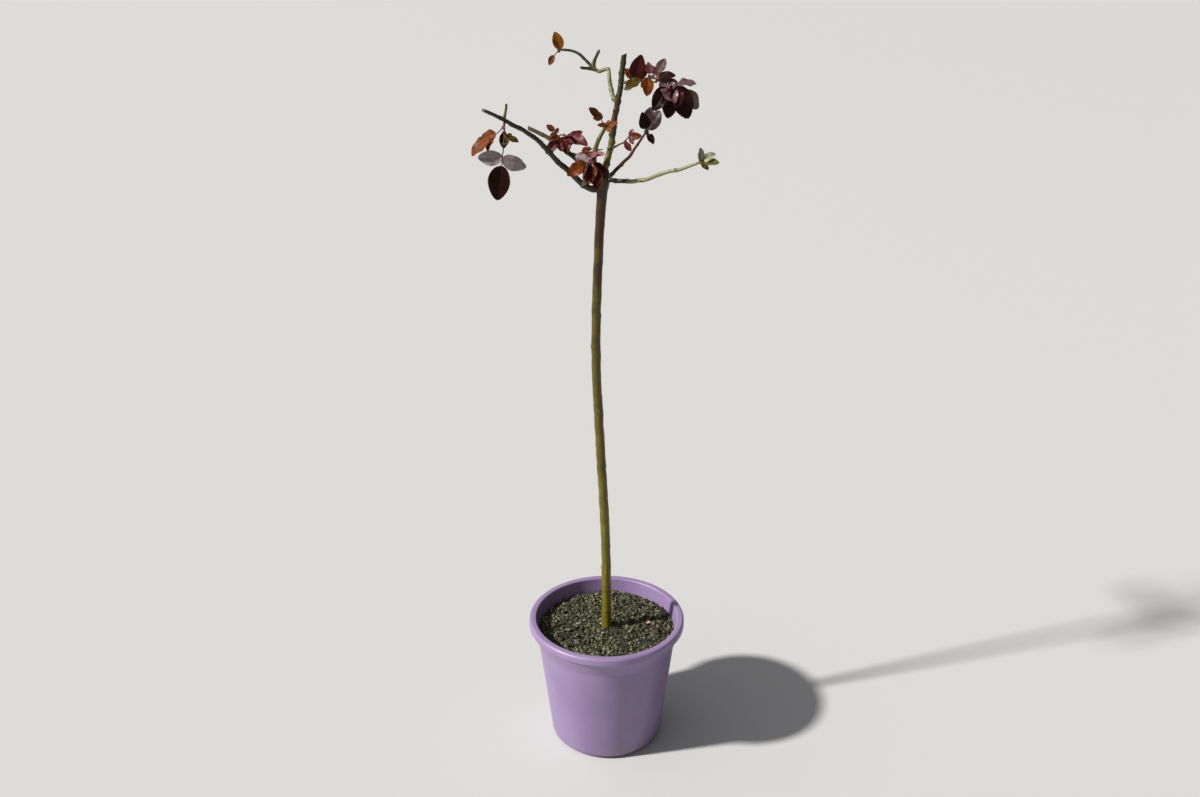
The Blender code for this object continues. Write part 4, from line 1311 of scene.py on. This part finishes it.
def soil_ring(shell, radius, height=None):
    """Add a ring of the soil's points, at a height or on its uneven surface."""
    row = []
    for j in range(SOIL_SECTORS):
        angle = tau * j / SOIL_SECTORS
        x, y = radius * cos(angle), radius * sin(angle)
        row.append(shell.add_point(Vector((x, y, soil_height(x, y) if height is None else height))))
    return row


def make_soil(tree):
    """The soil's closed bed, and the loose grains that lie on it, each kind apart."""
    reach = inner_radius(SOIL_TOP) - SOIL_WALL_GAP
    lower = [(inner_radius(SHOULDER_HEIGHT) - SOIL_WALL_GAP, SHOULDER_HEIGHT)]
    lower += arc(BASE_RADIUS - FOOT_ROUND, FOOT_ROUND, FOOT_ROUND - POT_WALL - SOIL_WALL_GAP, 0, -90,
                 SOIL_FOOT_STEPS)
    shell = Shell()
    rows = [soil_ring(shell, reach * i / SOIL_RINGS) for i in range(1, SOIL_RINGS + 1)]
    rows += [soil_ring(shell, radius, height) for radius, height in lower]
    spin = [j / SOIL_SECTORS for j in range(SOIL_SECTORS + 1)]
    shell.add_grid(rows, 0, spin, [i / len(rows) for i in range(len(rows))], closed=True)
    shell.add_cap(rows[0], shell.add_point(Vector((0, 0, soil_height(0, 0)))), 0)
    shell.add_cap(rows[-1], shell.add_point(Vector((0, 0, lower[-1][1]))), 0)
    # The bed's dark colour is partly painted shade in the gaps between grains.
    bed = shell.made("soil_bed", [grain_finish("compost", COMPOST_GAP_SHADE_COLOUR)])
    surface = top_only(bed, SOIL_TOP - GRAIN_GROUND)
    for grain in GRAINS:
        shape = grain_shape(grain.seed, grain.largest > CLUMP_FROM)
        piece = scattered(grain.name, surface, tree, Shape=shape, Crowd=GRAIN_CROWD,
                          Spacing=grain.spacing * MM, Smallest=(grain.smallest * MM,) * 3,
                          Largest=(grain.largest * MM,) * 3, Lean=pi, Seed=grain.seed,
                          Finish=grain_finish(grain.name, grain.colour))
        dress(piece, "soil", "soil")
    bpy.data.objects.remove(surface)
    dress(bed, "soil", "soil")


def make_fallen_leaves():
    """A few curled leaves and dry scraps that lie on the soil."""
    shell = Shell()
    rule = random.Random(FALLEN_SEED)
    for leaf in FALLEN_LEAVES:
        x, y = leaf.x * MM, leaf.y * MM
        way = heading(leaf.turn, leaf.rise)
        face = way.cross(Vector((0, 0, 1))).normalized().cross(way)
        growth = (Vector((x, y, soil_height(x, y) + FALLEN_LIFT)), way, face, leaf.length * MM)
        add_leaflet(shell, growth, (leaf.skin, leaf.skin), rule, FALLEN_WAVES)
    skins = [leaf_finish(name, colour, gloss, LEAF_SHINE, veins)
             for name, colour, gloss, veins in FALLEN_SKINS]
    dress(shell.made("fallen_leaves", skins, LEAF_SHARP_ANGLE), "soil", "soil")


def top_only(thing, lowest):
    """A copy of a mesh without what lies below a height."""
    shape = bmesh.new()
    shape.from_mesh(thing.data)
    low = [vert for vert in shape.verts if vert.co.z < lowest]
    bmesh.ops.delete(shape, geom=low, context="VERTS")
    mesh = kept(shape, bpy.data.meshes.new(thing.name + "_top"))
    return placed(mesh.name, mesh)


def grain_shape(seed, clumped):
    """One ragged grain of unit radius, off the scene: a clump has more faces than a crumb."""
    rule = random.Random(seed)
    shape = bmesh.new()
    bmesh.ops.create_icosphere(shape, subdivisions=1, radius=1.0)
    if clumped:
        bmesh.ops.poke(shape, faces=shape.faces, offset=GRAIN_POKE)
    for vert in shape.verts:
        vert.co *= 1 + rule.uniform(-GRAIN_RAGGED, GRAIN_RAGGED)
    bmesh.ops.dissolve_limit(shape, angle_limit=radians(1), verts=shape.verts, edges=shape.edges)
    bmesh.ops.triangulate(shape, faces=shape.faces)
    mesh = kept(shape, bpy.data.meshes.new(f"grain_{seed}"))
    return bpy.data.objects.new(mesh.name, mesh)


# Plant

def make_limbs(limbs, barks, cut):
    """Every limb's bark, each a piece that stands for its own node."""
    for i, (name, (path, radii)) in enumerate(limbs.items()):
        shell = Shell()
        skin = SKINS.get(name, SPUR_SKIN)
        sides, collar, kink = BOUGH_SIDES, COLLAR_SHARE, KINK
        if name == "trunk":
            sides, collar, kink = TRUNK_SIDES, 0.0, TRUNK_KINK
        add_bark(shell, path, radii, sides, i, skin.ages, skin.spacing * MM, cut=int(name in OPEN_ENDS),
                 collar=collar, knob=skin.knob, kink=kink)
        piece = shell.made(name + "_bark", [barks[skin.bark], cut])
        dress(piece, "green_shoot" if name in GREEN_LIMBS else "stem_bark", name)


def add_prong(shell, stalk, growth, finish, seed):
    """Add a thick side shoot that ends in a bud, in a leaf's place."""
    root, way, face, length = growth
    tip = root + way * length * PRONG_TIP
    path = stalk + [root.lerp(tip, share) for share in (0.4, 0.7, 1.0)]
    add_bark(shell, path, tapered(path, *PRONG_RADII), PRONG_SIDES, seed, PRONG_AGES, PRONG_KNOT_SPACING,
             finish, collar=0.5, step=TWIG_STEP, knob=1.3)
    add_bud(shell, tip, (way + face * 0.2).normalized(), length * PRONG_BUD, finish, seed)
    add_bud(shell, path[3], (face - way * 0.1).normalized(), PRONG_SIDE_BUD, finish, seed + 1)


def make_foliage(limbs, barks, leaf_skins):
    """Each mass's twigs and leaves."""
    names = list(TINTS)
    skins = [skin for name in names for skin in leaf_skins[name]]
    kinds = list(BARKS)
    stalk_finish = len(kinds)
    for mass in MASSES:
        stem, radii, leaves = mass_growth(mass, limbs)
        leaves += [leaf_growth(leaf, stem) for leaf in FINER_LEAVES.get(mass.name, ())]
        rule = random.Random(mass.seed)
        twigs, blades = Shell(), Shell()
        bark, ages = STEM_SKINS.get(mass.name, STEM_SKIN)
        finish = kinds.index(bark)
        add_bark(twigs, stem, radii, TWIG_SIDES, mass.seed, ages, TWIG_KNOT_SPACING, finish, collar=0.0,
                 step=TWIG_STEP)
        tints = MASS_TINTS[mass.name]
        for i, (stalk, leaflets) in enumerate(leaves):
            end_tint, side_tint = (tints[i % len(tints)].split() * 2)[:2]
            if end_tint == "prong":
                add_prong(twigs, stalk, leaflets[0], finish, i)
                continue
            add_bark(twigs, stalk, tapered(stalk, STALK_RADIUS, STALK_RADIUS * STALK_TAPER), STALK_SIDES, i,
                     finish=stalk_finish, spacing=NO_KNOTS, collar=0.6, step=1.2 * MM)
            for j, growth in enumerate(leaflets):
                k = names.index(side_tint if j else end_tint)
                add_leaflet(blades, growth, (2 * k, 2 * k + 1), rule, rule.uniform(*BLADE_WAVES))
            k = names.index(side_tint)
            add_stipules(blades, stalk, leaflets[0][2], (2 * k, 2 * k + 1), rule)
            way = (stalk[1] - stalk[0]).normalized()
            add_bud(twigs, stalk[0] + way * 1.0 * MM, (way + Vector((0, 0, 0.8))).normalized(), STALK_BUD,
                    stalk_finish, i)
        slot = "young_foliage" if mass.name in YOUNG_MASSES else "foliage"
        dress(twigs.made(mass.name + "_twigs", list(barks.values())), slot, mass.name)
        dress(blades.made(mass.name + "_leaves", skins, LEAF_SHARP_ANGLE), slot, mass.name)


def prickle_shape():
    """One prickle of unit height: a flat-sided cone that hooks over, off the scene."""
    shell = Shell()
    turns = [tau * j / PRICKLE_SIDES for j in range(PRICKLE_SIDES)]
    rings = [[shell.add_point(Vector((wide * cos(turn) - hook, deep * sin(turn), height))) for turn in turns]
             for height, wide, deep, hook in PRICKLE_RINGS]
    shell.add_grid(rings, 0, [0.0] * (PRICKLE_SIDES + 1), [0.0] * len(rings), closed=True)
    shell.add_cap(rings[0], shell.add_point(Vector((0, 0, PRICKLE_RINGS[0][0]))), 0)
    shell.add_cap(rings[-1], shell.add_point(Vector(PRICKLE_POINT)), 0)
    thing = shell.made("prickle", [])
    bpy.context.scene.collection.objects.unlink(thing)
    return thing


def make_prickles(limbs, tree, finish):
    """Sparse hooked prickles over the boughs."""
    shell = Shell()
    for i, (name, (path, radii)) in enumerate(limbs.items()):
        if name != "trunk":
            points, girths, along = resampled(path, radii, BARK_STEP)
            points = kinked(points, axes_along(points), along[-1], i, KINK)
            first, last = len(points) // 6, len(points) * 5 // 6
            add_bark(shell, points[first:last], girths[first:last], PRICKLE_GROUND_SIDES, i, collar=0.0)
    surface = shell.made("prickle_ground", [])
    piece = scattered("prickles", surface, tree, Shape=prickle_shape(), Crowd=GRAIN_CROWD,
                      Spacing=PRICKLE_SPACING, Smallest=(PRICKLE_LENGTH * PRICKLE_SMALLEST,) * 3,
                      Largest=(PRICKLE_LENGTH,) * 3, Lean=PRICKLE_LEAN, Seed=PRICKLE_SEED, Finish=finish)
    bpy.data.objects.remove(surface)
    dress(piece, "stem_bark")


def build():
    """Dress the whole plant and its pot."""
    set_camera()
    set_stage()
    bpy.context.scene.view_settings.view_transform = "Standard"
    tree = scatter_tree()
    make_pot()
    make_soil(tree)
    make_fallen_leaves()
    barks = {name: bark_finish(name + "_bark", *colours) for name, colours in BARKS.items()}
    barks["stalk"] = bark_finish("stalk_skin", *STALK_COLOURS)
    limbs = limb_paths()
    make_limbs(limbs, barks, cut_finish())
    leaf_skins = {}
    for name, (top, under) in TINTS.items():
        veins = VEINS.get(name, shaded(top, 2.0))
        leaf_skins[name] = (
            leaf_finish(name + "_leaf", top, LEAF_GLOSS, SHINE.get(name, LEAF_SHINE), veins),
            leaf_finish(name + "_leaf_back", under, UNDER_GLOSS, LEAF_SHINE, shaded(under, 1.5)))
    make_foliage(limbs, barks, leaf_skins)
    make_prickles(limbs, tree, barks["red"])


build()
